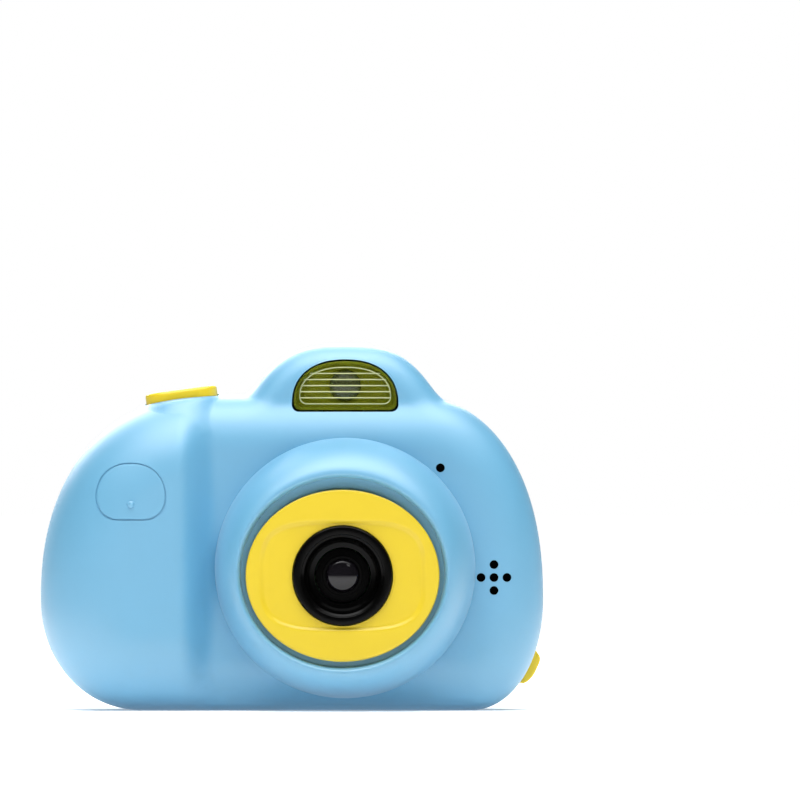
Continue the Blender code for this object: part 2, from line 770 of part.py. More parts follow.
def front_shell():
    shell = front_shell_solid()
    half_wall = WALL / 2
    pad = prism("shutter_pad", oblong(SHUTTER_LENGTH + 2 * PAD_MARGIN, SHUTTER_WIDTH + 2 * PAD_MARGIN),
                (-PAD_WALL - WALL, 0.0), shutter_frame(), bevel=CAP_BEVEL)
    join(shell, pad)
    for name, (x, z) in SCREW_SPOTS.items():
        start = front_post_y(x, z, POST_BORE + POST_WALL)
        join(shell, rods("case_post_" + name, [(x, z)], POST_BORE + POST_WALL, start,
                         TUBE_END_Y - FIT_GAP, HIDDEN_SIDES))
    speaker = oblong(SPEAKER_HEIGHT, SPEAKER_WIDTH)
    upright = [(-v, u) for u, v in speaker]
    collar_front = front_post_y(SPEAKER_X, SPEAKER_Z, SPEAKER_WIDTH / 2)
    join(shell, plate("speaker_collar", upright, collar_front, PART_Y - SPEAKER_BACK, SPEAKER_X, SPEAKER_Z))
    join(shell, rods("mic_collar", [(MIC_X, MIC_Z)], MIC_RADIUS + FIT_GAP + COLLAR_WALL,
                     front_y(MIC_X, MIC_Z) + half_wall, MIC_Y + MIC_THICK, HIDDEN_SIDES))
    join(shell, rods("camera_posts", camera_post_spots(), POST_BORE + POST_WALL,
                     RECESS_BACK_Y - half_wall, CAMERA_BOARD_Y - FIT_GAP, HIDDEN_SIDES))
    join(shell, upright_rods("shutter_posts", SHUTTER_POST_SPOTS, POST_BORE + POST_WALL,
                             FIT_GAP - SHUTTER_BOARD_TOP, -PAD_WALL + half_wall, HIDDEN_SIDES))

    inner_u, inner_v = SPEAKER_HEIGHT - 2 * COLLAR_WALL, SPEAKER_WIDTH - 2 * COLLAR_WALL
    hollow = [(-v, u) for u, v in oblong(inner_u, inner_v)]
    hollow_front = front_y(SPEAKER_X, SPEAKER_Z) + INNER_WALL
    cut(shell, plate("speaker_hollow", hollow, hollow_front, PART_Y, SPEAKER_X, SPEAKER_Z))
    cut(shell, rods("mic_seat", [(MIC_X, MIC_Z)], MIC_RADIUS + FIT_GAP, MIC_Y - FIT_GAP, PART_Y,
                    HIDDEN_SIDES))
    holes = speaker_spots() + [(MIC_X, MIC_Z)]
    cut(shell, rods("sound_holes", holes, HOLE_RADIUS, PART_Y - LIP_DEPTH,
                    PART_Y - SPEAKER_BACK + WALL, HIDDEN_SIDES))
    flash = d_outline(FLASH_WIDTH, FLASH_HEIGHT, FLASH_CORNER, FLASH_POWER, FIT_GAP)
    cut(shell, plate("flash_opening", flash, PART_Y - LIP_DEPTH, PART_Y - FIT_GAP, FLASH_X, FLASH_Z))
    cut(shell, surface_patch("badge_recess", badge_outline(FIT_GAP), BADGE_X, BADGE_Z,
                             2 * WALL, BADGE_THICK + FIT_GAP))
    room = 2 * (FLANGE_MARGIN + RUN_GAP)
    flange = oblong(SHUTTER_LENGTH + room, SHUTTER_WIDTH + room)
    cut(shell, prism("shutter_room", flange, (-SHUTTER_SWITCH_TOP, -PAD_WALL), shutter_frame()))
    cap = oblong(SHUTTER_LENGTH + 2 * RUN_GAP, SHUTTER_WIDTH + 2 * RUN_GAP)
    cut(shell, prism("shutter_hole", cap, (-SHUTTER_SWITCH_TOP, 2 * WALL), shutter_frame()))
    for name, spot in SCREW_SPOTS.items():
        cut(shell, rods("case_bore_" + name, [spot], POST_BORE, TUBE_END_Y - SCREW_LENGTH, TUBE_END_Y,
                        HIDDEN_SIDES))
    cut(shell, rods("camera_bores", camera_post_spots(), POST_BORE, RECESS_BACK_Y + half_wall,
                    CAMERA_BOARD_Y, HIDDEN_SIDES))
    cut(shell, upright_rods("shutter_bores", SHUTTER_POST_SPOTS, POST_BORE, -SHUTTER_BOARD_TOP,
                            -PAD_WALL - FIT_GAP, HIDDEN_SIDES))
    return finish(shell, BLUE)


# Front camera, flash and badge

def lens_trim():
    trim = plate("lens_trim", ellipse(TRIM_HALF_X, TRIM_HALF_Z, 36), TRIM_Y, TRIM_Y + TRIM_THICK,
                 LENS_X, LENS_Z, bevel=CAP_BEVEL)
    sunk = rounded_rectangle(TRIM_PANEL_X, TRIM_PANEL_Z, TRIM_PANEL_CORNER)
    cut(trim, plate("trim_panel", sunk, TRIM_Y - WALL, TRIM_Y + TRIM_PANEL_SINK, LENS_X, LENS_Z))
    cut(trim, rods("trim_hole", [(LENS_X, LENS_Z)], HOOD_RADIUS + FIT_GAP, TRIM_Y - WALL, RECESS_Y, 36))
    return finish(trim, YELLOW)


def lens_hood():
    """A stepped black ring with a flange behind the shell's lens hole."""
    front = TRIM_Y - HOOD_PROUD
    inner = BARREL_RADIUS + FIT_GAP
    flange = HOOD_RADIUS + HOOD_FLANGE
    flange_front = RECESS_BACK_Y + FIT_GAP
    profile = [
        (HOOD_RADIUS - HOOD_RIM / 2, front),
        (HOOD_RADIUS, front + HOOD_RIM / 2),
        (HOOD_RADIUS, flange_front),
        (flange, flange_front),
        (flange, HOOD_BACK_Y),
        (inner, HOOD_BACK_Y),
        (inner, BARREL_FRONT_Y - FIT_GAP),
        (HOOD_BEVEL_RADIUS - HOOD_RIM / 2, front + 1.6 * HOOD_RIM),
        (HOOD_BEVEL_RADIUS, front + HOOD_RIM),
        (HOOD_RADIUS - HOOD_RIM, front + HOOD_RIM / 2),
    ]
    return finish(turned("lens_hood", profile, LENS_X, LENS_Z, closed=True, sides=30), BLACK)


def lens_barrel():
    """The lens cell, with a seat for its front glass."""
    seat = GLASS_RADIUS + FIT_GAP
    depth = BARREL_LENGTH / 3
    profile = [
        (0.0, BARREL_FRONT_Y + depth),
        (seat, BARREL_FRONT_Y + depth),
        (seat, BARREL_FRONT_Y),
        (BARREL_RADIUS, BARREL_FRONT_Y),
        (BARREL_RADIUS, BARREL_BACK_Y),
        (0.0, BARREL_BACK_Y),
    ]
    return finish(turned("lens_barrel", profile, LENS_X, LENS_Z), BLACK)


def lens_element():
    """A domed front glass in the barrel's seat."""
    top = BARREL_FRONT_Y - GLASS_BULGE
    angles = np.radians(np.linspace(0, 90, 6))
    dome = [(GLASS_RADIUS * math.sin(a), BARREL_FRONT_Y - GLASS_BULGE * math.cos(a)) for a in angles]
    dome[0] = (0.0, top)
    back = BARREL_FRONT_Y + BARREL_LENGTH / 3 - FIT_GAP
    return finish(turned("lens_element", dome + [(GLASS_RADIUS, back), (0.0, back)], LENS_X, LENS_Z), GLASS)


def camera_board():
    board = plate("camera_board", rounded_rectangle(CAMERA_BOARD, CAMERA_BOARD, WALL / 2, 3),
                  CAMERA_BOARD_Y, CAMERA_BOARD_Y + BOARD_THICK, LENS_X, LENS_Z)
    cut(board, rods("camera_board_holes", camera_post_spots(), POST_BORE, CAMERA_BOARD_Y - WALL,
                    CAMERA_BOARD_Y + 2 * WALL, HIDDEN_SIDES))
    return finish(board, GREEN)


FLASH_Y = PART_Y - HUMP_DEPTH + FLASH_SINK
REFLECTOR_Y = FLASH_Y + FLASH_THICK + FIT_GAP
FLASH_BOARD_Y = REFLECTOR_Y + REFLECTOR_DEPTH + FIT_GAP
FLASH_MIDDLE = (FLASH_X, FLASH_Z + FLASH_HEIGHT / 2)


def flash_parts():
    """Window, reflector cup, lamp and the small board that carries the lamp."""
    outline = d_outline(FLASH_WIDTH, FLASH_HEIGHT, FLASH_CORNER, FLASH_POWER)
    window = plate("flash_window", outline, FLASH_Y, FLASH_Y + FLASH_THICK, FLASH_X, FLASH_Z,
                   bevel=CAP_BEVEL)
    finish(window, CLEAR)
    cup = plate("flash_reflector", outline, REFLECTOR_Y, REFLECTOR_Y + REFLECTOR_DEPTH, FLASH_X, FLASH_Z)
    hollow = d_outline(FLASH_WIDTH, FLASH_HEIGHT, FLASH_CORNER, FLASH_POWER, -REFLECTOR_WALL, 11)
    floor = REFLECTOR_Y + REFLECTOR_DEPTH - REFLECTOR_WALL
    cut(cup, plate("cup_hollow", hollow, REFLECTOR_Y - WALL, floor, FLASH_X, FLASH_Z))
    cut(cup, rods("cup_hole", [FLASH_MIDDLE], FLASH_LED_RADIUS + FIT_GAP, REFLECTOR_Y, FLASH_BOARD_Y,
                  TUBE_SIDES))
    finish(cup, SILVER)
    angles = np.radians(np.linspace(0, 90, 5))
    tip, base = REFLECTOR_Y + 2 * FIT_GAP, FLASH_BOARD_Y - FIT_GAP
    round_depth = (base - tip) * 0.6
    dome = [(FLASH_LED_RADIUS * math.sin(a), tip + round_depth * (1 - math.cos(a))) for a in angles]
    dome[0] = (0.0, tip)
    lamp = turned("flash_led", dome + [(FLASH_LED_RADIUS, base), (0.0, base)], *FLASH_MIDDLE)
    finish(lamp, LAMP)
    board = plate("flash_board", rounded_rectangle(FLASH_BOARD_X, FLASH_BOARD_Z, WALL / 4, 3),
                  FLASH_BOARD_Y, FLASH_BOARD_Y + BOARD_THICK, *FLASH_MIDDLE)
    finish(board, GREEN)


def grip_badge():
    badge = surface_patch("grip_badge", badge_outline(), BADGE_X, BADGE_Z, 0.0, BADGE_THICK)
    x, z = BADGE_X, BADGE_Z - BADGE_NUB_DROP
    bm = bmesh.new()
    bmesh.ops.create_uvsphere(bm, u_segments=8, v_segments=6, radius=BADGE_NUB)
    join(badge, mesh_object("badge_nub", bm, Matrix.Translation((x, front_y(x, z), z))))
    return finish(badge, BLUE)


# Sound and shutter

def speaker():
    outline = [(-v, u) for u, v in oblong(SPEAKER_HEIGHT, SPEAKER_WIDTH)]
    body = plate("speaker", outline, SPEAKER_Y, SPEAKER_Y + SPEAKER_THICK, SPEAKER_X, SPEAKER_Z)
    magnet = rods("speaker_magnet", [(SPEAKER_X, SPEAKER_Z)], SPEAKER_WIDTH / 3,
                  SPEAKER_Y + SPEAKER_THICK / 2, SPEAKER_Y + 1.4 * SPEAKER_THICK)
    join(body, magnet)
    return finish(body, BLACK)


def microphone():
    return finish(rods("microphone", [(MIC_X, MIC_Z)], MIC_RADIUS, MIC_Y, MIC_Y + MIC_THICK), BLACK)


def shutter_parts():
    frame = shutter_frame()
    cap = prism("shutter_button", oblong(SHUTTER_LENGTH, SHUTTER_WIDTH),
                (FLANGE_THICK / 2 - SHUTTER_FLANGE_LOW, SHUTTER_PROUD), frame, bevel=1.6 * CAP_BEVEL)
    flange = oblong(SHUTTER_LENGTH + 2 * FLANGE_MARGIN, SHUTTER_WIDTH + 2 * FLANGE_MARGIN)
    join(cap, prism("shutter_flange", flange, (-SHUTTER_FLANGE_LOW, -PAD_WALL - RUN_GAP), frame))
    stem_end = -SHUTTER_FLANGE_LOW - SHUTTER_STEM_LENGTH
    join(cap, upright_rods("shutter_stem", [(0, 0)], SHUTTER_STEM, stem_end, -PAD_WALL))
    finish(cap, YELLOW)
    size = SWITCH_SIZE + 2 * SHUTTER_STEM
    switch = prism("shutter_switch", rounded_rectangle(size, size, WALL / 4, 3),
                   (FIT_GAP - SHUTTER_BOARD_TOP, -SHUTTER_SWITCH_TOP), frame)
    finish(switch, BLACK)
    low = -SHUTTER_BOARD_TOP - BOARD_THICK
    board = prism("shutter_board", rounded_rectangle(SHUTTER_BOARD_X, SHUTTER_BOARD_Y, WALL / 2, 3),
                  (low, -SHUTTER_BOARD_TOP), frame)
    cut(board, upright_rods("shutter_board_holes", SHUTTER_POST_SPOTS, POST_BORE, low - WALL, WALL,
                            HIDDEN_SIDES))
    finish(board, GREEN)
    for number, spot in enumerate(SHUTTER_POST_SPOTS, start=1):
        screw = upright_rods(f"shutter_screw_{number}", [spot], HEAD_RADIUS, low - FIT_GAP - HEAD_THICK,
                             low - FIT_GAP, HIDDEN_SIDES)
        join(screw, upright_rods(f"shutter_shank_{number}", [spot], SHANK_RADIUS, low - HEAD_THICK,
                                 -PAD_WALL - 2 * FIT_GAP, HIDDEN_SIDES))
        finish(screw, STEEL)


# Rear shell

def behind(points, depth):
    """Points of the x-z plane at a depth behind the parting plane."""
    depth = np.broadcast_to(depth, len(points))
    return np.stack([points[:, 0], PART_Y + depth, points[:, 1]], axis=1)


def rear_shell_solid():
    """Loft the rear shell from its flat back round the edge, over the seam's tongue and back inside."""
    line = resample(HUMPED, SHELL_POINTS)
    normal = outward(line)

    def ring(inwards, depth):
        lean = REAR_TAPER * min(max(depth / REAR_STRAIGHT, 0.0), 1.0)
        points = line - normal * inwards
        points[:, 0] -= normal[:, 0] * lean
        return behind(points, depth)

    turns = np.radians((90, 70, 50, 30, 12))
    loops = []
    for turn in turns:
        depth = REAR_STRAIGHT + (REAR_DEPTH - REAR_STRAIGHT) * math.sin(turn)
        loops.append(ring(REAR_ROUND * (1 - math.cos(turn)), depth))
    tongue = WALL / 2 + FIT_GAP
    loops += [ring(0.0, REAR_STRAIGHT), ring(0.0, FIT_GAP / 2)]
    loops += [ring(tongue, FIT_GAP / 2), ring(tongue, -SEAM_LIP), ring(WALL, -SEAM_LIP)]
    loops.append(ring(WALL, REAR_STRAIGHT))
    inner_round, inner_depth = REAR_ROUND - WALL, REAR_DEPTH - WALL - REAR_STRAIGHT
    for turn in np.radians((25, 50, 72, 90)):
        inwards = WALL + inner_round * (1 - math.cos(turn))
        loops.append(ring(inwards, REAR_STRAIGHT + inner_depth * math.sin(turn)))
    return loft("rear_shell", loops)


def panel_outline():
    """The raised panel on the back: square end beside the screen, round end beside the pad."""
    middle = (PANEL_LOW + PANEL_HIGH) / 2
    half = (PANEL_HIGH - PANEL_LOW) / 2
    end = superellipse(PANEL_END, half, PANEL_POWER, 90, 270, 25) + (PANEL_END - PANEL_LEFT, middle)
    x = PANEL_RIGHT - PANEL_CORNER
    low = arc((x, PANEL_LOW + PANEL_CORNER), PANEL_CORNER, 270, 360, 6)
    high = arc((x, PANEL_HIGH - PANEL_CORNER), PANEL_CORNER, 0, 90, 6)
    return [tuple(p) for p in end] + low + high


def side_x(z):
    """Where the right side of the body lies at a height."""
    right = HUMPED[HUMPED[:, 0] > 0]
    low = right[(right[:, 1] < SHOULDER_HEIGHT) & (right[:, 0] > BASE_RIGHT)]
    order = np.argsort(low[:, 1])
    return float(np.interp(z, low[order, 1], low[order, 0]))


def side_path(low, high, count):
    """Points and outward normals down the right side of the body, top first."""
    normals = outward(HUMPED)
    keep = (HUMPED[:, 0] > BASE_RIGHT) & (HUMPED[:, 1] < SHOULDER_HEIGHT)
    order = np.argsort(-HUMPED[keep, 1])
    line, normal = HUMPED[keep][order], normals[keep][order]
    steps = np.hypot(*np.diff(line, axis=0).T)
    along = np.concatenate([[0.0], np.cumsum(steps)])
    ends = np.interp([-high, -low], -line[:, 1], along)
    wanted = np.linspace(ends[0], ends[1], count)
    points = np.stack([np.interp(wanted, along, line[:, i]) for i in (0, 1)], axis=1)
    across = np.stack([np.interp(wanted, along, normal[:, i]) for i in (0, 1)], axis=1)
    return points, across / np.linalg.norm(across, axis=1, keepdims=True), wanted - wanted[0]


def side_strip(name, low, high, near, far, inside, outside, edge=0.0, count=16, tab=False):
    """A strip along the right side between two depths, from inside the surface to outside it."""
    points, across, along = side_path(low, high, count)
    loops = []
    for point, normal, run in zip(points, across, along):
        top = outside
        if tab:
            top += TAB_PROUD * float(smooth_step(1 - (along[-1] - run) / TAB_LENGTH))
        section = [(-inside, near), (top - edge, near), (top, near + edge), (top, far - edge),
                   (top - edge, far), (-inside, far)]
        if edge == 0.0:
            section = [(-inside, near), (top, near), (top, far), (-inside, far)]
        loop = []
        for out, depth in section:
            lean = REAR_TAPER * depth / REAR_STRAIGHT
            x, z = point + normal * out
            loop.append((x - normal[0] * lean, PART_Y + depth, z))
        loops.append(loop)
    return loft(name, loops)


TUBE_RADIUS = PLUG_RADIUS + FIT_GAP
USB_Y = BOARD_FRONT_Y - FIT_GAP - USB_THICK / 2
CARD_Y = BOARD_FRONT_Y - FIT_GAP - CARD_THICK / 2


def mouth_x(z, width):
    """Where a socket's mouth lies behind the port frame."""
    ends = (side_x(z - width / 2), side_x(z), side_x(z + width / 2))
    return min(ends) - REAR_TAPER - FRAME_THICK - FIT_GAP


def port_slots():
    """Openings in the port floor, in front of the two sockets."""
    slots = []
    for name, y, z, width, thick in (("usb_slot", USB_Y, USB_Z, USB_WIDTH, USB_THICK),
                                     ("card_slot", CARD_Y, CARD_Z, CARD_WIDTH, CARD_THICK)):
        half_y, half_z = thick / 2 + SLOT_MARGIN, width / 2 + SLOT_MARGIN
        slots.append(block(name, (mouth_x(z, width) - WALL, y - half_y, z - half_z),
                           (WIDTH / 2 + WALL, y + half_y, z + half_z)))
    return slots


def root_limits(grow):
    """Corners of the root that holds the cover's fixed end, grown by a clearance."""
    z = (PORT_TOP + PORT_HINGE) / 2
    y = PART_Y + (PORT_FRONT + PORT_BACK) / 2
    half = ROOT_SIZE / 2 + grow
    x = side_x(z)
    inner_x = x - REAR_TAPER - FRAME_THICK - FIT_GAP - grow
    return (inner_x, y - half, z - half), (x - COVER_THICK / 2, y + half, z + half)


def pad_ring():
    """The flat raised ring round the direction pad."""
    foot = PANEL_Y - WALL / 4
    top = PANEL_Y + DPAD_RING_RISE
    inner = DPAD_RADIUS + RUN_GAP - WALL / 4
    outer = DPAD_RADIUS + RUN_GAP + DPAD_RING_WIDTH
    slope = DPAD_RING_WIDTH / 3
    profile = [(outer, top - slope), (outer - slope, top), (inner, top), (inner, foot), (outer, foot)]
    return turned("pad_ring", profile, DPAD_X, DPAD_Z, closed=True, sides=32)


def pad_nub():
    """The small dome in the middle of the direction pad."""
    foot = PANEL_Y - WALL / 4
    profile = [
        (0.0, foot),
        (NUB_RADIUS, foot),
        (NUB_RADIUS, PANEL_Y + BUTTON_PROUD / 3),
        (NUB_RADIUS * 0.7, PANEL_Y + BUTTON_PROUD * 0.7),
        (0.0, PANEL_Y + BUTTON_PROUD),
    ]
    return turned("pad_nub", profile, DPAD_X, DPAD_Z, sides=16)


def rear_boss():
    """The soft round rise that carries the rear lens window."""
    foot = FLOOR_Y + WALL / 2
    top = BACK_Y + REAR_BOSS_RISE
    rim = REAR_LENS_RADIUS + FIT_GAP + REAR_BOSS_RISE / 3
    profile = [
        (0.0, foot),
        (REAR_BOSS_RADIUS, foot),
        (REAR_BOSS_RADIUS, BACK_Y + REAR_BOSS_RISE / 4),
        (REAR_BOSS_RADIUS - REAR_BOSS_RISE / 3, BACK_Y + REAR_BOSS_RISE * 0.7),
        (rim, top),
        (0.0, top),
    ]
    return turned("rear_boss", profile, REAR_LENS_X, REAR_LENS_Z, sides=27)


def rear_shell():
    shell = rear_shell_solid()
    middle_y = FLOOR_Y + WALL / 2
    join(shell, plate("rear_panel", panel_outline(), middle_y, PANEL_Y, 0.0, 0.0, bevel=CAP_BEVEL))
    join(shell, pad_ring(), pad_nub(), rear_boss())
    tube_radius = TUBE_RADIUS + TUBE_WALL
    for name, (x, z) in SCREW_SPOTS.items():
        end = rear_post_y(x, z, tube_radius)
        join(shell, rods("screw_tube_" + name, [(x, z)], tube_radius, TUBE_END_Y, end, TUBE_SIDES))
    join(shell, rods("board_posts", BOARD_POSTS, POST_BORE + POST_WALL, BOARD_BACK_Y + FIT_GAP, middle_y,
                     HIDDEN_SIDES))
    camera = REAR_CAMERA + 2 * FIT_GAP + 2 * COLLAR_WALL
    join(shell, plate("rear_camera_collar", rounded_rectangle(camera, camera, WALL / 2, 3),
                      FLOOR_Y - REAR_CAMERA_DEPTH / 2, middle_y, REAR_LENS_X, REAR_LENS_Z))
    join(shell, rods("status_collar", [(STATUS_X, STATUS_Z)], STATUS_RADIUS + FIT_GAP + COLLAR_WALL,
                     FLOOR_Y - STATUS_THICK / 2, middle_y, HIDDEN_SIDES))
    edge = FRAME_MARGIN / 2
    join(shell, side_strip("port_frame", PORT_LOW - edge / 2, PORT_TOP + FRAME_MARGIN, PORT_FRONT - edge,
                           PORT_BACK + edge, FRAME_THICK, -WALL / 2))

    pocket = rounded_rectangle(SCREEN_WIDTH + 2 * FIT_GAP, SCREEN_HEIGHT + 2 * FIT_GAP,
                               SCREEN_CORNER + FIT_GAP)
    ledge_y = PANEL_Y - SCREEN_SINK - SCREEN_THICK - FIT_GAP
    cut(shell, plate("screen_pocket", pocket, ledge_y, PANEL_Y + WALL, SCREEN_X, SCREEN_Z))
    view = rounded_rectangle(SCREEN_WIDTH - 2 * VIEW_MARGIN, SCREEN_HEIGHT - 2 * VIEW_MARGIN,
                             SCREEN_CORNER / 3)
    cut(shell, plate("screen_view", view, FLOOR_Y - FIT_GAP / 2, PANEL_Y, SCREEN_X, SCREEN_Z))
    cut(shell, rods("mode_hole", [(MODE_X, MODE_Z)], MODE_RADIUS + RUN_GAP, FLOOR_Y - WALL, PANEL_Y + WALL))
    power = oblong(POWER_WIDTH + 2 * RUN_GAP, POWER_HEIGHT + 2 * RUN_GAP)
    cut(shell, plate("power_hole", power, FLOOR_Y - WALL, PANEL_Y + WALL, POWER_X, POWER_Z))
    for name, turn in DPAD_TURNS.items():
        sector = pad_sector(DPAD_RADIUS + RUN_GAP, DPAD_RIB / 2, DPAD_HUB, turn)
        cut(shell, plate(f"pad_hole_{name}", sector, FLOOR_Y - WALL, PANEL_Y + WALL, DPAD_X, DPAD_Z))
    lens_ledge = BACK_Y + REAR_BOSS_RISE - REAR_LENS_SINK - REAR_LENS_THICK - FIT_GAP
    spot = [(REAR_LENS_X, REAR_LENS_Z)]
    cut(shell, rods("rear_lens_seat", spot, REAR_LENS_RADIUS + FIT_GAP, lens_ledge, BACK_Y + 2 * WALL, 32))
    cut(shell, rods("rear_lens_hole", spot, REAR_LENS_RADIUS - WALL / 2, FLOOR_Y - WALL, BACK_Y + WALL))
    camera = REAR_CAMERA + 2 * FIT_GAP
    cut(shell, plate("rear_camera_seat", rounded_rectangle(camera, camera, WALL / 4, 3),
                     FLOOR_Y - REAR_CAMERA_DEPTH, FLOOR_Y, REAR_LENS_X, REAR_LENS_Z))
    cut(shell, rods("status_seat", [(STATUS_X, STATUS_Z)], STATUS_RADIUS + FIT_GAP, FLOOR_Y - WALL, FLOOR_Y,
                    HIDDEN_SIDES))
    cut(shell, rods("status_hole", [(STATUS_X, STATUS_Z)], STATUS_HOLE, FLOOR_Y - WALL, BACK_Y + WALL,
                    HIDDEN_SIDES))
    cut(shell, rods("plug_holes", SCREW_SPOTS.values(), TUBE_RADIUS, TUBE_END_Y + TUBE_FLOOR, BACK_Y + WALL,
                    TUBE_SIDES))
    cut(shell, rods("screw_holes", SCREW_SPOTS.values(), POST_BORE, TUBE_END_Y - WALL, BACK_Y, HIDDEN_SIDES))
    cut(shell, rods("board_bores", BOARD_POSTS, POST_BORE, BOARD_BACK_Y, FLOOR_Y + FIT_GAP, HIDDEN_SIDES))
    cut(shell, side_strip("port_pocket", PORT_LOW - FIT_GAP, PORT_TOP + FIT_GAP, PORT_FRONT - FIT_GAP,
                          PORT_BACK + FIT_GAP, COVER_THICK + FIT_GAP, 2 * WALL))
    cut(shell, *port_slots())
    cut(shell, block("root_hole", *root_limits(FIT_GAP)))
    return finish(shell, BLUE)


# Buttons, screen and rear camera

# Directions as the user sees them, looking at the back
DPAD_TURNS = {"up": 90, "down": 270, "left": 0, "right": 180}
BUTTON_TOP_Y = PANEL_Y + BUTTON_PROUD
SWITCH_TOP_Y = FLANGE_Y - PRESS_TRAVEL - SWITCH_GAP


def press_button(name, cap, flange, x, z):
    """A cap through the back with a flange that keeps it in."""
    button = plate(name, cap, FLANGE_Y + FLANGE_THICK / 2, BUTTON_TOP_Y, x, z, bevel=CAP_BEVEL)
    join(button, plate(name + "_flange", flange, FLANGE_Y, FLANGE_Y + FLANGE_THICK, x, z))
    return finish(button, YELLOW)


def key_switch(name, x, z):
    outline = rounded_rectangle(SWITCH_SIZE, SWITCH_SIZE, SWITCH_SIZE / 8, 3)
    return finish(plate(name, outline, BOARD_BACK_Y + FIT_GAP, SWITCH_TOP_Y, x, z), BLACK)


def rear_buttons():
    margin = 2 * FLANGE_MARGIN
    press_button("mode_button", ellipse(MODE_RADIUS, MODE_RADIUS, SIDES),
                 ellipse(MODE_RADIUS + FLANGE_MARGIN, MODE_RADIUS + FLANGE_MARGIN, SIDES), MODE_X, MODE_Z)
    key_switch("mode_switch", MODE_X, MODE_Z)
    press_button("power_button", oblong(POWER_WIDTH, POWER_HEIGHT),
                 oblong(POWER_WIDTH + margin, POWER_HEIGHT + margin), POWER_X, POWER_Z)
    key_switch("power_switch", POWER_X, POWER_Z)
    for name, turn in DPAD_TURNS.items():
        cap = pad_sector(DPAD_RADIUS, DPAD_RIB / 2 + RUN_GAP, DPAD_HUB + RUN_GAP, turn)
        flange = pad_sector(DPAD_RADIUS + FLANGE_MARGIN, DPAD_FLANGE_GAP, DPAD_HUB - RUN_GAP, turn)
        press_button(f"dpad_{name}_button", cap, flange, DPAD_X, DPAD_Z)
        x = DPAD_X + DPAD_SWITCH * math.cos(math.radians(turn))
        z = DPAD_Z + DPAD_SWITCH * math.sin(math.radians(turn))
        key_switch(f"dpad_{name}_switch", x, z)


def screen_parts():
    far = PANEL_Y - SCREEN_SINK
    window = plate("screen_window", rounded_rectangle(SCREEN_WIDTH, SCREEN_HEIGHT, SCREEN_CORNER, 7),
                   far - SCREEN_THICK, far, SCREEN_X, SCREEN_Z, bevel=CAP_BEVEL / 2)
    finish(window, BLACK)
    display = plate("display_panel", rounded_rectangle(DISPLAY_WIDTH, DISPLAY_HEIGHT, WALL / 2, 3),
                    FLOOR_Y - FIT_GAP - DISPLAY_THICK, FLOOR_Y - FIT_GAP, SCREEN_X, SCREEN_Z)
    finish(display, SCREEN)


def rear_camera_parts():
    far = BACK_Y + REAR_BOSS_RISE - REAR_LENS_SINK
    spot = [(REAR_LENS_X, REAR_LENS_Z)]
    window = rods("rear_lens_window", spot, REAR_LENS_RADIUS, far - REAR_LENS_THICK, far, 32)
    finish(window, GLASS)
    back = FLOOR_Y - FIT_GAP
    camera = plate("rear_camera", rounded_rectangle(REAR_CAMERA, REAR_CAMERA, WALL / 4, 3),
                   back - REAR_CAMERA_DEPTH, back, REAR_LENS_X, REAR_LENS_Z)
    lens = rods("rear_camera_lens", spot, REAR_LENS_RADIUS - WALL / 2 - FIT_GAP, back - WALL,
                far - REAR_LENS_THICK - FIT_GAP)
    join(camera, lens)
    finish(camera, BLACK)
    lamp = rods("status_led", [(STATUS_X, STATUS_Z)], STATUS_RADIUS, FLOOR_Y - FIT_GAP - STATUS_THICK,
                FLOOR_Y - FIT_GAP, HIDDEN_SIDES)
    finish(lamp, LAMP)


# Main board, battery and screws

def board_outline():
    """The body outline drawn in, cut straight across the top."""
    right, left, low_left, low_right = outline_quarters(BOARD_INSET, BOARD_POINTS)
    left = left[left[:, 1] < BOARD_TOP]
    right = right[right[:, 1] < BOARD_TOP]
    sides = np.vstack([left, low_left[1:], low_right, right[1:]])
    return [(left[0][0], BOARD_TOP)] + [tuple(p) for p in sides] + [(right[-1][0], BOARD_TOP)]


def main_board():
    board = plate("main_board", board_outline(), BOARD_FRONT_Y, BOARD_BACK_Y, 0.0, 0.0)
    cut(board, rods("board_notches", SCREW_SPOTS.values(), TUBE_RADIUS + TUBE_WALL + 2 * FIT_GAP,
                    BOARD_FRONT_Y - WALL, BOARD_BACK_Y + WALL, HIDDEN_SIDES))
    cut(board, rods("board_holes", BOARD_POSTS, POST_BORE, BOARD_FRONT_Y - WALL, BOARD_BACK_Y + WALL,
                    HIDDEN_SIDES))
    return finish(board, GREEN)


def battery_parts():
    outline = rounded_rectangle(BATTERY_WIDTH, BATTERY_HEIGHT, BATTERY_CORNER, 4)
    foam_back = BOARD_FRONT_Y - FIT_GAP
    pad = plate("battery_pad", outline, foam_back - FOAM_THICK, foam_back, BATTERY_X, BATTERY_Z)
    finish(pad, FOAM)
    back = foam_back - FOAM_THICK - FIT_GAP
    cell = plate("battery", outline, back - BATTERY_THICK, back, BATTERY_X, BATTERY_Z, bevel=CAP_BEVEL)
    finish(cell, FOIL)


def screw(name, x, z, head_near, head_far, shank_end):
    """A headed screw along Y; the shank starts inside the head and ends at shank_end."""
    body = rods(name, [(x, z)], HEAD_RADIUS, head_near, head_far, HIDDEN_SIDES)
    middle = (head_near + head_far) / 2
    shank = rods(name + "_shank", [(x, z)], SHANK_RADIUS, min(middle, shank_end), max(middle, shank_end),
                 HIDDEN_SIDES)
    join(body, shank)
    return finish(body, STEEL)


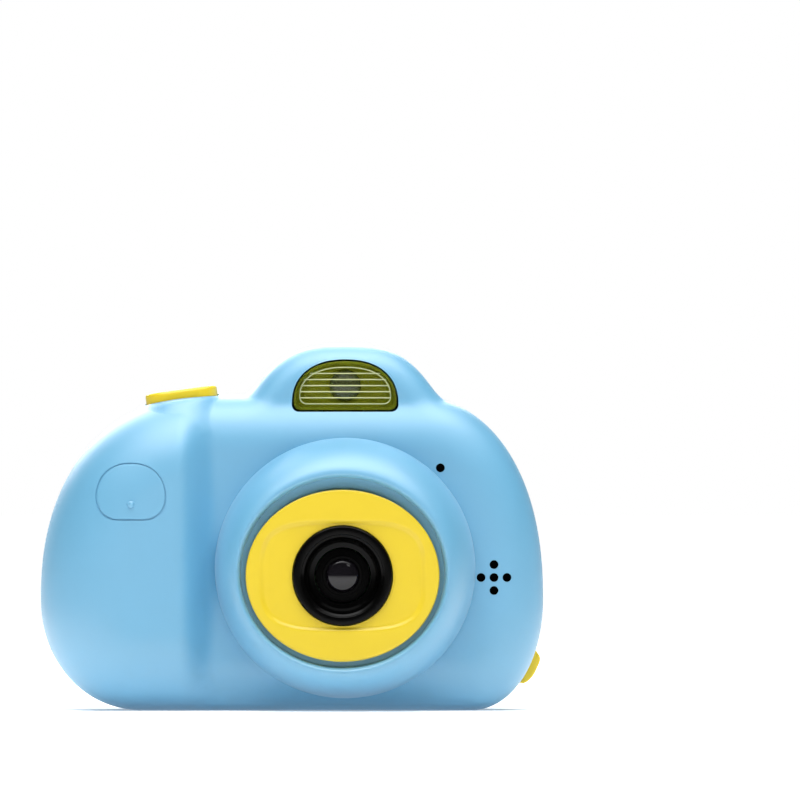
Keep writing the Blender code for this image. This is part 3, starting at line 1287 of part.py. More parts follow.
def screw_plug(name, x, z):
    """A soft plug over a case screw, its outer face flush with the back."""
    rim = np.array(arc((x, z), PLUG_RADIUS, 0, 360, TUBE_SIDES + 1)[:-1])
    rings = [(x, z) + (rim - (x, z)) * share for share in (0.4, 0.75, 1.0)]
    loops = [behind(ring, rear_depth(ring) - PLUG_SINK) for ring in rings]
    bottom = float(rear_depth([(x, z)])[0]) - PLUG_THICK
    loops.append(behind(rim, bottom))
    return finish(loft(name, loops), BLUE)


def screws_and_plugs():
    for name, (x, z) in SCREW_SPOTS.items():
        head = TUBE_END_Y + TUBE_FLOOR + FIT_GAP
        screw(f"case_screw_{name}", x, z, head, head + HEAD_THICK, head - SCREW_LENGTH + FIT_GAP)
        screw_plug(f"screw_plug_{name}", x, z)
    head_far = BOARD_FRONT_Y - FIT_GAP
    for number, (x, z) in enumerate(BOARD_POSTS, start=1):
        screw(f"board_screw_{number}", x, z, head_far - HEAD_THICK, head_far, FLOOR_Y - FIT_GAP)
    head_near = CAMERA_BOARD_Y + BOARD_THICK + FIT_GAP
    for number, (x, z) in enumerate(camera_post_spots(), start=1):
        screw(f"camera_screw_{number}", x, z, head_near, head_near + HEAD_THICK, RECESS_BACK_Y + WALL)


# Sockets and port cover

def socket(name, y, z, width, thick, depth):
    """A metal box open towards the side of the camera."""
    x = mouth_x(z, width)
    body = block(name, (x - depth, y - thick / 2, z - width / 2), (x, y + thick / 2, z + width / 2))
    wall = SOCKET_WALL
    hollow = block(name + "_hollow", (x - depth + 2 * wall, y - thick / 2 + wall, z - width / 2 + wall),
                   (x + wall, y + thick / 2 - wall, z + width / 2 - wall))
    cut(body, hollow)
    return finish(body, STEEL)


def port_cover():
    """The rubber flap: its plug reaches into the USB slot, and it turns about its upper outer edge."""
    cover = side_strip("port_cover", PORT_LOW, PORT_HINGE - FIT_GAP, PORT_FRONT, PORT_BACK, COVER_THICK,
                       COVER_PROUD, COVER_EDGE, 18, tab=True)
    half_y, half_z = USB_THICK / 2 - SOCKET_WALL, USB_WIDTH / 2 - 2 * SOCKET_WALL
    x = side_x(USB_Z) - COVER_THICK
    join(cover, block("cover_plug", (x - PLUG_NUB - REAR_TAPER, USB_Y - half_y, USB_Z - half_z),
                      (x + COVER_THICK / 2, USB_Y + half_y, USB_Z + half_z)))
    return finish(cover, RUBBER)


def port_cover_anchor():
    anchor = side_strip("port_cover_anchor", PORT_HINGE, PORT_TOP, PORT_FRONT, PORT_BACK, COVER_THICK,
                        COVER_PROUD, COVER_EDGE, 4)
    join(anchor, block("anchor_root", *root_limits(0.0)))
    return finish(anchor, RUBBER)


front_shell()
lens_trim()
lens_hood()
lens_barrel()
lens_element()
camera_board()
flash_parts()
grip_badge()
speaker()
microphone()
shutter_parts()
rear_shell()
rear_buttons()
screen_parts()
rear_camera_parts()
main_board()
battery_parts()
screws_and_plugs()
socket("usb_socket", USB_Y, USB_Z, USB_WIDTH, USB_THICK, USB_DEPTH)
socket("card_socket", CARD_Y, CARD_Z, CARD_WIDTH, CARD_THICK, CARD_DEPTH)
port_cover()
port_cover_anchor()
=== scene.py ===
"""Looks of the kids digital camera: smooth shells, lens, flash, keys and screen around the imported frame.

Units are metres. Seen from the front, X runs to the right and Z up; Y runs from the lens to the screen.
"""

import json
import math

import bmesh
import bpy
import numpy as np
from mathutils import Matrix, Vector

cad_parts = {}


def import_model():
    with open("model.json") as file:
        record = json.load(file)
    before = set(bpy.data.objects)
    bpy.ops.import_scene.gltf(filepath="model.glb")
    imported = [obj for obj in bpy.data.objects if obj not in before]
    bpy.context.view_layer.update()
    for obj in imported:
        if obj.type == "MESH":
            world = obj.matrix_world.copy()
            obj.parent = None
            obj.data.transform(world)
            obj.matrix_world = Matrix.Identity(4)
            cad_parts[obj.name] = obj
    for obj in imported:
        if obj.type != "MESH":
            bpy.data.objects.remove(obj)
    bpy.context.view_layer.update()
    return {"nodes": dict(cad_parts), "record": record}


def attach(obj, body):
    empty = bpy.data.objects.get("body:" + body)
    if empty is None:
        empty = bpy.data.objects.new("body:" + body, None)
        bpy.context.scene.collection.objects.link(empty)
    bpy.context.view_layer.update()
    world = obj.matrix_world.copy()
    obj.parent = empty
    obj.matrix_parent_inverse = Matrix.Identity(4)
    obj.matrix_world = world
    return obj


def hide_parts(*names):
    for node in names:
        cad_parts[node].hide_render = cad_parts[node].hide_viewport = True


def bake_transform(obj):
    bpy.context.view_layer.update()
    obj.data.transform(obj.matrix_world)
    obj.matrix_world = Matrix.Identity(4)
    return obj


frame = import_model()

# Clearances and walls
FIT_GAP = 0.0003
RUN_GAP = 0.0003
WALL = 0.0020

# Body outline seen from the front
WIDTH = 0.0854
WAIST_HEIGHT = 0.0190
SHOULDER_HEIGHT = 0.0534
BASE_LEFT = 0.0255
BASE_RIGHT = 0.0305
SHOULDER_LEFT = 0.0140
SHOULDER_RIGHT = 0.0200
CORNER_POWER = 2.07
SHOULDER_POWER = 2.22
HUMP_X = 0.0088
HUMP_HEIGHT = 0.0087
HUMP_HALF_WIDTH = 0.0159
HUMP_FILLET = 0.0022

# Depths from the parting plane
PART_Y = 0.0050
SEAM_LIP = 0.0012
FRONT_STRAIGHT = 0.0060
FACE_DEPTH = 0.0135
FACE_ROUND = 0.0090
GRIP_DEPTH = 0.0185
GRIP_ROUND = 0.0130
GRIP_EDGE_X = 0.0160
GRIP_SLOPE = 0.0065
HUMP_DEPTH = 0.0110
HUMP_ROUND = 0.0045
BLEND_POWER = 7.0
REAR_DEPTH = 0.0123
REAR_STRAIGHT = 0.0065
REAR_ROUND = 0.0062
REAR_TAPER = 0.0006
BACK_Y = PART_Y + REAR_DEPTH
FLOOR_Y = BACK_Y - WALL
INNER_WALL = 1.15 * WALL

# Lens boss, trim and hood
LENS_X = 0.00865
LENS_Z = 0.0230
LENS = np.array([LENS_X, LENS_Z])
BOSS_RADIUS = 0.0221
BOSS_SHIFT_X = 0.0004
BOSS_SHIFT_Z = 0.0012
LIP_DEPTH = 0.0240
LIP_HALF_X = 0.0180
LIP_HALF_Z = 0.0168
LIP_RISE = 0.0005
RECESS_DEPTH = 0.0026
GROOVE_DEPTH = 0.0024
LIP_ROUND = 0.0008
BOSS_POWER = 1.65
TRIM_HALF_X = 0.0164
TRIM_HALF_Z = 0.01455
TRIM_THICK = 0.0018
TRIM_EDGE = 0.00035
TRIM_PANEL_X = 0.0274
TRIM_PANEL_Z = 0.0181
TRIM_PANEL_POWER = 3.6
TRIM_PANEL_SINK = 0.0004
TRIM_PANEL_SOFT = 0.0007
HOOD_RADIUS = 0.0084
HOOD_PROUD = 0.0004
HOOD_RIM = 0.0010
HOOD_RIM_INNER = 0.0072
# Radius and depth of each step inside the hood
HOOD_STEPS = ((0.00690, 0.0007), (0.00655, 0.0009), (0.00640, 0.0012))
HOOD_THROAT = 0.0056
BARREL_RADIUS = 0.0045
BARREL_LENGTH = 0.0085
BARREL_STEP = 0.0002
SEAT_DEPTH = 0.0020
SEAT_RIM = 0.0005
GLASS_RADIUS = 0.0028
GLASS_BULGE = 0.0009
GLASS_THICK = 0.0015
RECESS_Y = PART_Y - LIP_DEPTH + RECESS_DEPTH
RECESS_BACK_Y = RECESS_Y + WALL
TRIM_Y = RECESS_Y - FIT_GAP - TRIM_THICK
BARREL_Y = RECESS_BACK_Y - WALL / 2

# Flash
FLASH_X = 0.00905
FLASH_Z = 0.0510
FLASH_WIDTH = 0.0175
FLASH_HEIGHT = 0.0083
FLASH_CORNER = 0.0012
FLASH_POWER = 2.3
FLASH_THICK = 0.0014
FLASH_SINK = 0.0002
FLASH_EDGE = 0.0003
REFLECTOR_DEPTH = 0.0032
REFLECTOR_WALL = 0.0008
REFLECTOR_BEND = 0.0010
REFLECTOR_RIDGES = 5
RIDGE_RADIUS = 0.00012
LAMP_RADIUS = 0.0027
LAMP_SINK = 0.0006
LAMP_DOME = 0.0014
LAMP_HEIGHT = 0.0022
FLASH_Y = PART_Y - HUMP_DEPTH + FLASH_SINK
REFLECTOR_Y = FLASH_Y + FLASH_THICK + FIT_GAP

# Grip badge, sound holes and shutter
BADGE_X = -0.0272
BADGE_Z = 0.0372
BADGE_WIDTH = 0.0116
BADGE_HEIGHT = 0.00935
BADGE_POWER = 2.25
BADGE_CORNER = BADGE_WIDTH / 3.2
BADGE_THICK = 0.0009
BADGE_GROOVE = 0.00022
BADGE_SKIRT = 1.2 * BADGE_GROOVE
BADGE_NUB = 0.0006
BADGE_NUB_RISE = 0.7 * BADGE_NUB
BADGE_NUB_DROP = 0.0022
HOLE_RADIUS = 0.00075
MIC_X = 0.0252
MIC_Z = 0.0412
SPEAKER_INSET = 0.0084
SPEAKER_X = WIDTH / 2 - SPEAKER_INSET
SPEAKER_Z = 0.0226
SPEAKER_PITCH = 0.0022
SPEAKER_BACK = 0.0090
SHUTTER_X = -0.0187
SHUTTER_Y = -0.0010
SHUTTER_Z = 0.0529
SHUTTER_TILT = math.radians(7.65)
SHUTTER_LENGTH = 0.0122
SHUTTER_WIDTH = 0.0070
SHUTTER_PROUD = 0.0016
SHUTTER_EDGE = 0.0006
PAD_MARGIN = 0.0010
PAD_FRONT = 0.0122
PAD_BACK = 0.0100
PAD_POWER = 2.4
PAD_EDGE = 0.0005
PAD_STEEPNESS = 2.4
PAD_FILLET = 0.0012
PAD_REACH = 0.0115
PAD_COVER_FRONT = 0.0070
PAD_COVER_REAR = 0.0042
PAD_SINK = 0.00003
PAD_WALL = 0.0024

# Back: panel, screen, keys, rear lens and plugs
PANEL_RISE = 0.0006
PANEL_RIGHT = 0.0366
PANEL_LEFT = 0.0346
PANEL_LOW = 0.0041
PANEL_HIGH = 0.0450
PANEL_CORNER = 0.0050
PANEL_END = 0.0206
PANEL_POWER = 2.45
PANEL_EDGE = 0.0003
PANEL_Y = BACK_Y + PANEL_RISE
BEAD_RADIUS = 0.00028
SCREEN_X = 0.0115
SCREEN_Z = 0.0246
SCREEN_WIDTH = 0.0448
SCREEN_HEIGHT = 0.0353
SCREEN_CORNER = 0.0044
SCREEN_THICK = 0.0011
SCREEN_SINK = 0.0001
SCREEN_EDGE = 0.0002
PICTURE_WIDTH = 0.0406
PICTURE_HEIGHT = 0.0300
BUTTON_PROUD = 0.0008
BUTTON_TOP_Y = PANEL_Y + BUTTON_PROUD
BUTTON_FOOT_Y = FLOOR_Y - RUN_GAP
CAP_EDGE = 0.00035
SIGN_RISE = 0.00010
SIGN_REACH = 0.0050
ARROW_SIZE = 0.0012
SUN_RADIUS = 0.0007
RAY_REACH = 0.0013
RAY_RADIUS = 0.0002
CHEVRON_TIP = 0.0014
CHEVRON_NOTCH = 0.0008
CHEVRON_BACK = 0.0004
CHEVRON_HALF = 0.0011
CHEVRON_INNER = 0.0005
MODE_X = -0.0208
MODE_Z = 0.0393
MODE_RADIUS = 0.0029
MODE_BAR_LENGTH = 0.0022
MODE_BAR_WIDTH = 0.0004
MODE_BAR_PITCH = 0.0008
POWER_X = -0.0202
POWER_Z = 0.0091
POWER_WIDTH = 0.0075
POWER_HEIGHT = 0.00465
POWER_SIGN_RADIUS = 0.0009
POWER_SIGN_LINE = 0.00032
POWER_SIGN_BAR = 0.0011
POWER_SIGN_RISE = 0.0007
DPAD_X = -0.0249
DPAD_Z = 0.0243
DPAD_RADIUS = 0.0075
DPAD_RIB = 0.0010
DPAD_HUB = 0.0017
DPAD_RING_WIDTH = 0.0011
DPAD_RING_RISE = 0.0006
DPAD_TURNS = {"up": 90, "down": 270, "left": 0, "right": 180}
NUB_RADIUS = 0.0012
BUMP_X = -0.0136
BUMP_TOP = 0.0407
BUMP_STEP = 0.00327
BUMP_COUNT = 11
BUMP_RADIUS = 0.00042
REAR_LENS_X = 0.0086
REAR_LENS_Z = 0.0513
REAR_LENS_RADIUS = 0.00325
REAR_LENS_THICK = 0.0012
REAR_LENS_SINK = 0.0003
REAR_LENS_EDGE = 0.0003
REAR_DOME_RADIUS = 0.0014
REAR_DOME_RISE = 0.00018
REAR_GROOVE = 0.0001
REAR_BOSS_RADIUS = 0.0057
REAR_BOSS_RISE = 0.0017
REAR_BOSS_RIM = 0.0005
REAR_BOSS_FOOT = 0.0010
REAR_BOSS_SINK = 0.0002
STATUS_X = -0.0234
STATUS_Z = 0.0452
STATUS_HOLE = 0.00056
PLUG_RADIUS = 0.00212
PLUG_THICK = 0.0024
PLUG_SINK = 0.0001
SCREW_SPOTS = {"left": (-0.0309, 0.0413), "right": (0.0203, 0.0478)}

# Port cover on the right side
PORT_TOP = 0.0365
PORT_HINGE = 0.0325
PORT_LOW = 0.0046
PORT_FRONT = 0.0017
PORT_BACK = 0.0066
COVER_PROUD = 0.0002
COVER_THICK = 0.0015
COVER_EDGE = 0.00045
TAB_PROUD = 0.0014
TAB_LENGTH = 0.0060
TAB_LOW_ROUND = 0.5
TAB_HIGH_ROUND = 0.25
FRAME_THICK = 0.0038
FRAME_MARGIN = 0.0016
HINGE_LENGTH = 0.0016
HINGE_SINK = 0.7 * COVER_PROUD

# How finely things are drawn
ROUND_POINTS = 260
FACE_LOOPS = 46
FACE_CROWDING = 1.7
TRIM_LOOPS = 56
FINE = 64
WELD = 1e-6
OUTLINE_POINTS = 720
QUARTER_POINTS = 120
HEIGHT_HALVINGS = 13
MOUND_COLUMNS = 47
MOUND_ROWS = 37


# Finishes

CLOUD_SCALE = 160.0
GLOSS_DRIFT = 0.12
SHEEN_ROUGHNESS = 0.4


def fill(tree, made, values):
    """Set the inputs of a shader node, or link them where the value is another node's output."""
    for key, value in values.items():
        if isinstance(value, bpy.types.NodeSocket):
            tree.links.new(value, made.inputs[key])
        else:
            made.inputs[key].default_value = value


def node(tree, kind, values=None, **settings):
    """A new shader node with its settings made and its inputs filled."""
    made = tree.nodes.new(kind)
    for key, value in settings.items():
        setattr(made, key, value)
    fill(tree, made, values or {})
    return made


def object_place(tree, **mapping):
    """Places on the object as a vector, scaled or turned."""
    place = node(tree, "ShaderNodeTexCoord").outputs["Object"]
    return node(tree, "ShaderNodeMapping", {"Vector": place, **mapping}).outputs["Vector"]


def linear(red, green, blue):
    """A screen colour of 0 to 255 as scene colour."""
    shares = [c / 255 for c in (red, green, blue)]
    return tuple(c / 12.92 if c <= 0.04045 else ((c + 0.055) / 1.055) ** 2.4 for c in shares)


def shaded(colour, factor):
    return tuple(min(c * factor, 1.0) for c in colour) + (1.0,)


def finish(name, colour, roughness, drift=0.06, grain=0.0, grain_size=0.0004, metallic=0.0, coat=0.0,
           coat_roughness=0.08, alpha=1.0, specular=0.5, sheen=0.0, stretch=(1.0, 1.0, 1.0)):
    """A surface whose shade and gloss drift slightly over the piece, with an optional fine grain."""
    look = bpy.data.materials.new(name)
    look.use_nodes = True
    tree = look.node_tree
    shader = tree.nodes["Principled BSDF"]
    spread = object_place(tree, Scale=stretch)
    noise = {"Vector": spread, "Scale": CLOUD_SCALE, "Detail": 4.0, "Roughness": 0.6}
    cloud = node(tree, "ShaderNodeTexNoise", noise).outputs["Fac"]
    ramp = node(tree, "ShaderNodeValToRGB", {"Fac": cloud})
    for spot, position, factor in zip(ramp.color_ramp.elements, (0.3, 0.7), (1 - drift, 1 + drift)):
        spot.position = position
        spot.color = shaded(colour, factor)
    low, high = roughness * (1 - GLOSS_DRIFT), roughness * (1 + GLOSS_DRIFT)
    gloss = node(tree, "ShaderNodeMapRange", {"Value": cloud, "To Min": low, "To Max": high})
    fill(tree, shader, {
        "Base Color": ramp.outputs["Color"], "Roughness": gloss.outputs["Result"], "Metallic": metallic,
        "Coat Weight": coat, "Coat Roughness": coat_roughness, "Alpha": alpha,
        "Specular IOR Level": specular, "Sheen Weight": sheen, "Sheen Roughness": SHEEN_ROUGHNESS,
    })
    if grain:
        fine = node(tree, "ShaderNodeTexNoise", {"Vector": spread, "Scale": 1 / grain_size, "Detail": 2.0})
        relief = {"Height": fine.outputs["Fac"], "Strength": grain, "Distance": grain_size / 4}
        fill(tree, shader, {"Normal": node(tree, "ShaderNodeBump", relief).outputs["Normal"]})
    return look


def board_finish():
    """Green lacquer with lighter copper tracks under it."""
    look = finish("circuit_board", (0.02, 0.13, 0.05), 0.4)
    tree = look.node_tree
    tracks = node(tree, "ShaderNodeTexBrick", {
        "Vector": object_place(tree, Rotation=(math.pi / 2, 0.0, 0.0)), "Scale": 220.0, "Mortar Size": 0.06,
        "Color1": (0.018, 0.12, 0.045, 1.0), "Color2": (0.024, 0.15, 0.06, 1.0),
        "Mortar": (0.08, 0.26, 0.10, 1.0),
    }, offset=0.37)
    fill(tree, tree.nodes["Principled BSDF"], {"Base Color": tracks.outputs["Color"]})
    return look


BLUE = finish("blue_shell", (0.108, 0.37, 0.575), 0.50, drift=0.012, grain=0.05, grain_size=0.00025,
              coat=1.0, coat_roughness=0.55, specular=1.0, sheen=0.12)
YELLOW = finish("yellow_plastic", linear(224, 196, 40), 0.36, drift=0.012, grain=0.03, grain_size=0.0003)
ICON = finish("yellow_icon", linear(232, 196, 34), 0.42, drift=0.02)
BLACK = finish("black_plastic", (0.001, 0.001, 0.001), 0.20, drift=0.2, specular=0.1)
SATIN_BLACK = finish("satin_black", (0.002, 0.002, 0.002), 0.50, drift=0.2, grain=0.1, specular=0.05)
CLEAR = finish("clear_window", (0.30, 0.34, 0.02), 0.05, drift=0.05, alpha=0.05, specular=0.1)
GLASS = finish("dark_glass", (0.006, 0.005, 0.007), 0.03, drift=0.3, specular=0.45)
MIRROR = finish("silver_reflector", (0.19, 0.20, 0.008), 0.32, drift=0.25, metallic=0.1, specular=0.15)
# Pale finish for the reflector's rim and level ridges: a painted highlight, far lighter than the cup they
# stand on.
RIDGE_HIGHLIGHT = finish("reflector_ridges_painted_highlight", (0.70, 0.72, 0.40), 0.18, drift=0.05, metallic=0.3)
LAMP = finish("lamp_dark", (0.030, 0.036, 0.036), 0.12, drift=0.2, specular=0.6)
RUBBER = finish("yellow_rubber", linear(236, 204, 50), 0.58, drift=0.03, grain=0.12, grain_size=0.0003)
STEEL = finish("steel", (0.55, 0.55, 0.57), 0.3, drift=0.08, metallic=1.0, stretch=(1.0, 14.0, 1.0))
FOIL = finish("battery_wrap", (0.40, 0.42, 0.45), 0.38, drift=0.1, metallic=0.4)
FOAM = finish("foam", (0.05, 0.05, 0.05), 0.9, drift=0.3, grain=0.6)
PANEL_GREY = finish("display", (0.5, 0.52, 0.55), 0.3, drift=0.1)
GREEN = board_finish()


class Picture:
    """Draws flat shapes over each other in a shader, in millimetres from the middle of the screen."""

    def __init__(self, tree, backdrop):
        self.tree = tree
        self.vector = object_place(tree, Scale=(-1000.0, 1000.0, 1000.0))
        split = node(tree, "ShaderNodeSeparateXYZ", {"Vector": self.vector})
        self.across = split.outputs["X"]
        self.up = split.outputs["Y"]
        self.colour = backdrop

    def maths(self, operation, first, second=0.0):
        """One step of arithmetic on numbers or sockets."""
        return node(self.tree, "ShaderNodeMath", {0: first, 1: second}, operation=operation).outputs["Value"]

    def oval(self, x, z, half_x, half_z, power=2.0):
        """1 inside an oval, 0 outside, with a thin soft edge."""
        size = 0.0
        for position, middle, half in ((self.across, x, half_x), (self.up, z, half_z)):
            share = self.maths("DIVIDE", self.maths("SUBTRACT", position, middle), half)
            size = self.maths("ADD", self.maths("POWER", self.maths("ABSOLUTE", share), power), size)
        edge = node(self.tree, "ShaderNodeMapRange", {"Value": size, "From Min": 1.04, "From Max": 0.96})
        return edge.outputs["Result"]

    def paint(self, mask, colour, strength=1.0):
        """Lay a colour over what is drawn so far."""
        if strength < 1.0:
            mask = self.maths("MULTIPLY", mask, strength)
        if isinstance(colour, tuple):
            colour = (*colour, 1.0)
        layers = {"Factor": mask, "A": self.colour, "B": colour}
        self.colour = node(self.tree, "ShaderNodeMix", layers, data_type="RGBA").outputs["Result"]


# Place, half width and half height of each balloon in millimetres, and its colour
BALLOONS = (
    (-12.0, 5.0, 3.9, 4.7, (233, 60, 140)),
    (-4.5, 8.0, 3.6, 4.4, (250, 190, 40)),
    (4.0, 4.5, 4.4, 5.3, (60, 150, 225)),
    (12.5, 7.0, 3.8, 4.6, (120, 195, 70)),
    (-8.0, -4.5, 3.2, 3.9, (130, 80, 200)),
    (9.0, -5.0, 3.4, 4.1, (240, 120, 50)),
)


def confetti(picture):
    """Loose coloured dots scattered over the backdrop."""
    tree = picture.tree
    cells = node(tree, "ShaderNodeTexVoronoi", {"Vector": picture.vector, "Scale": 0.42, "Randomness": 1.0})
    near = {"Value": cells.outputs["Distance"], "From Min": 0.26, "From Max": 0.22}
    dots = node(tree, "ShaderNodeMapRange", near)
    hue = node(tree, "ShaderNodeSeparateColor", {"Color": cells.outputs["Color"]})
    shades = node(tree, "ShaderNodeValToRGB", {"Fac": hue.outputs["Red"]})
    shades.color_ramp.interpolation = "CONSTANT"
    colours = ((233, 60, 140), (250, 200, 60), (70, 160, 230), (140, 205, 90), (150, 100, 210))
    for number, colour in enumerate(colours):
        share = number / len(colours)
        spot = shades.color_ramp.elements[0] if number == 0 else shades.color_ramp.elements.new(share)
        spot.color = (*linear(*colour), 1.0)
    shades.color_ramp.elements[-1].color = (*linear(*colours[-1]), 1.0)
    picture.paint(dots.outputs["Result"], shades.outputs["Color"])


def balloon(picture, x, z, half_x, half_z, colour):
    """String, knot, balloon and a pale gleam, in millimetres."""
    base = linear(*colour)
    low = z - half_z
    picture.paint(picture.oval(x, low - 4.5, 0.16, 4.8, 6.0), linear(120, 130, 140))
    picture.paint(picture.oval(x, low - 0.3, 0.7, 0.6), tuple(c * 0.8 for c in base))
    picture.paint(picture.oval(x, z, half_x, half_z), base)
    gleam = picture.oval(x - 0.4 * half_x, z + 0.45 * half_z, 0.22 * half_x, 0.28 * half_z)
    picture.paint(gleam, (1.0, 1.0, 1.0), 0.7)


def screen_finish():
    """Black glass with a lit picture of balloons and confetti in its middle."""
    look = finish("screen_glass", (0.004, 0.004, 0.005), 0.10, drift=0.2, coat=0.3)
    tree = look.node_tree
    sky = node(tree, "ShaderNodeValToRGB")
    sky.color_ramp.elements[0].color = (*linear(214, 238, 246), 1.0)
    sky.color_ramp.elements[1].color = (*linear(252, 250, 244), 1.0)
    picture = Picture(tree, sky.outputs["Color"])
    rise = node(tree, "ShaderNodeMapRange", {"Value": picture.up, "From Min": -15.0, "From Max": 12.0})
    fill(tree, sky, {"Fac": rise.outputs["Result"]})
    confetti(picture)
    for row in BALLOONS:
        balloon(picture, *row)
    lit = picture.oval(0.0, 0.0, PICTURE_WIDTH * 500, PICTURE_HEIGHT * 500, 60.0)
    glow = {"Emission Color": picture.colour, "Emission Strength": lit}
    fill(tree, tree.nodes["Principled BSDF"], glow)
    return look


# Shapes

def mesh_object(name, bm, place=Matrix()):
    """A new object in the scene from bmesh data, with its faces turned outwards."""
    bmesh.ops.recalc_face_normals(bm, faces=bm.faces)
    mesh = bpy.data.meshes.new(name)
    bm.to_mesh(mesh)
    bm.free()
    obj = bpy.data.objects.new(name, mesh)
    bpy.context.scene.collection.objects.link(obj)
    obj.matrix_world = place
    return obj


def facing_front(x, z, y=0.0):
    """A frame whose third axis points to the front, -Y, and whose second axis is up."""
    return Matrix.Translation((x, y, z)) @ Matrix.Rotation(math.pi / 2, 4, "X")


def add_line(curve, points, closed=True):
    """A line of straight steps in a curve."""
    spline = curve.splines.new("POLY")
    spline.points.add(len(points) - 1)
    for spot, point in zip(spline.points, points):
        spot.co = (*point, 1.0)
    spline.use_cyclic_u = closed


def new_curve(name, dimensions, bevel):
    curve = bpy.data.curves.new(name, "CURVE")
    curve.dimensions = dimensions
    curve.bevel_depth = bevel
    curve.bevel_resolution = 3
    return curve


def curve_mesh(name, curve, place=Matrix(), weld=0.0):
    """The solid that a curve draws, as a mesh object."""
    shape = bpy.data.objects.new(name + "_line", curve)
    shape.matrix_world = place
    bpy.context.scene.collection.objects.link(shape)
    bpy.context.view_layer.update()
    solid = shape.evaluated_get(bpy.context.evaluated_depsgraph_get())
    bm = bmesh.new()
    bm.from_mesh(bpy.data.meshes.new_from_object(solid))
    if weld:
        bmesh.ops.remove_doubles(bm, verts=bm.verts, dist=weld)
    world_place = shape.matrix_world.copy()
    bpy.data.objects.remove(shape, do_unlink=True)
    return mesh_object(name, bm, world_place)


def prism(name, outlines, limits, place, edge=0.0):
    """One or more outlines extruded between two limits along the frame's third axis, with rounded edges."""
    low, high = limits
    curve = new_curve(name, "2D", edge)
    curve.fill_mode = "BOTH"
    curve.extrude = (high - low) / 2 - edge
    curve.offset = -edge
    for outline in outlines:
        add_line(curve, [(u, v, 0.0) for u, v in outline])
    return curve_mesh(name, curve, place @ Matrix.Translation((0.0, 0.0, (low + high) / 2)), WELD)


def tube(name, points, radius, closed=False):
    """A round cord along a line of world points."""
    curve = new_curve(name, "3D", radius)
    curve.use_fill_caps = not closed
    add_line(curve, points, closed)
    return curve_mesh(name, curve)


def plate(name, outline, near, far, x, z, edge=0.0):
    """An outline in the x-z plane, extruded from y = near to y = far."""
    return prism(name, [outline], (-far, -near), facing_front(x, z), edge)


def rods(name, spots, radius, near, far, sides=FINE):
    """Round rods along Y at each (x, z) spot, as one mesh."""
    bm = bmesh.new()
    for x, z in spots:
        bmesh.ops.create_cone(bm, cap_ends=True, segments=sides, radius1=radius, radius2=radius,
                              depth=far - near, matrix=facing_front(x, z, (near + far) / 2))
    return mesh_object(name, bm)


def loft(name, loops, ring=False):
    """Skin a row of loops with equal point counts; the ends are capped unless the row closes on itself."""
    bm = bmesh.new()
    rows = [[bm.verts.new(point) for point in loop] for loop in loops]
    neighbours = list(zip(rows, rows[1:]))
    if ring:
        neighbours.append((rows[-1], rows[0]))
    count = len(rows[0])
    for row, following in neighbours:
        for i in range(count):
            j = (i + 1) % count
            bm.faces.new((row[i], row[j], following[j], following[i]))
    if not ring:
        bm.faces.new(rows[0])
        bm.faces.new(rows[-1])
    return mesh_object(name, bm)


def turned(name, profile, x, z, ring=False, sides=96):
    """A profile of (radius, y) points turned about the Y direction."""
    angles = np.linspace(0.0, 2 * math.pi, sides, endpoint=False)
    loops = []
    for radius, y in profile:
        radius = max(radius, WELD)
        loops.append([(x + radius * math.cos(a), y, z + radius * math.sin(a)) for a in angles])
    return loft(name, loops, ring)


def oval_arc(centre, half_u, half_v, start, end, count):
    """Points along an arc of an ellipse, angles in degrees."""
    angles = np.radians(np.linspace(start, end, count))
    return [(centre[0] + half_u * math.cos(a), centre[1] + half_v * math.sin(a)) for a in angles]


def arc(centre, radius, start, end, count):
    """Points along a circular arc, angles in degrees."""
    return oval_arc(centre, radius, radius, start, end, count)


def rounded_rectangle(width, height, corner, count=12):
    x, z = width / 2 - corner, height / 2 - corner
    corners = ((x, z, 0), (-x, z, 90), (-x, -z, 180), (x, -z, 270))
    return [p for cx, cz, start in corners for p in arc((cx, cz), corner, start, start + 90, count)]


def oblong(length, width, count=28):
    """A rectangle with round ends."""
    radius, x = width / 2, (length - width) / 2
    return arc((x, 0), radius, -90, 90, count) + arc((-x, 0), radius, 90, 270, count)


def superellipse(half_x, half_z, power, start, end, count):
    """Points of a superellipse about the origin, angles in degrees."""
    angles = np.radians(np.linspace(start, end, count))
    cosine, sine = np.cos(angles), np.sin(angles)
    x = half_x * np.sign(cosine) * np.abs(cosine) ** (2 / power)
    z = half_z * np.sign(sine) * np.abs(sine) ** (2 / power)
    return np.stack([x, z], axis=1)


def d_outline(width, height, corner, power, grow=0.0, count=48):
    """A flat base with small corners under a domed top; v = 0 is the base before growing."""
    half = width / 2 + grow
    spring = corner - grow
    top = superellipse(half, height + grow - spring, power, 0, 180, count) + (0.0, spring)
    low_left = arc((-half + corner, spring), corner, 180, 270, 9)
    low_right = arc((half - corner, spring), corner, 270, 360, 9)
    return [tuple(p) for p in top] + low_left[1:] + low_right[:-1]


def pad_sector(radius, side_gap, inner, turn, count=28):
    """One quarter of the direction pad, its sides a set distance from the pad's diagonals."""
    outer_skip = math.degrees(math.asin(side_gap / radius))
    inner_skip = math.degrees(math.asin(side_gap / inner))
    outer = arc((0, 0), radius, turn - 45 + outer_skip, turn + 45 - outer_skip, count)
    return outer + arc((0, 0), inner, turn + 45 - inner_skip, turn - 45 + inner_skip, 9)


def band(radius, width, start, end, count=24):
    """An arc of some width."""
    outer = arc((0, 0), radius + width / 2, start, end, count)
    return outer + arc((0, 0), radius - width / 2, end, start, count)


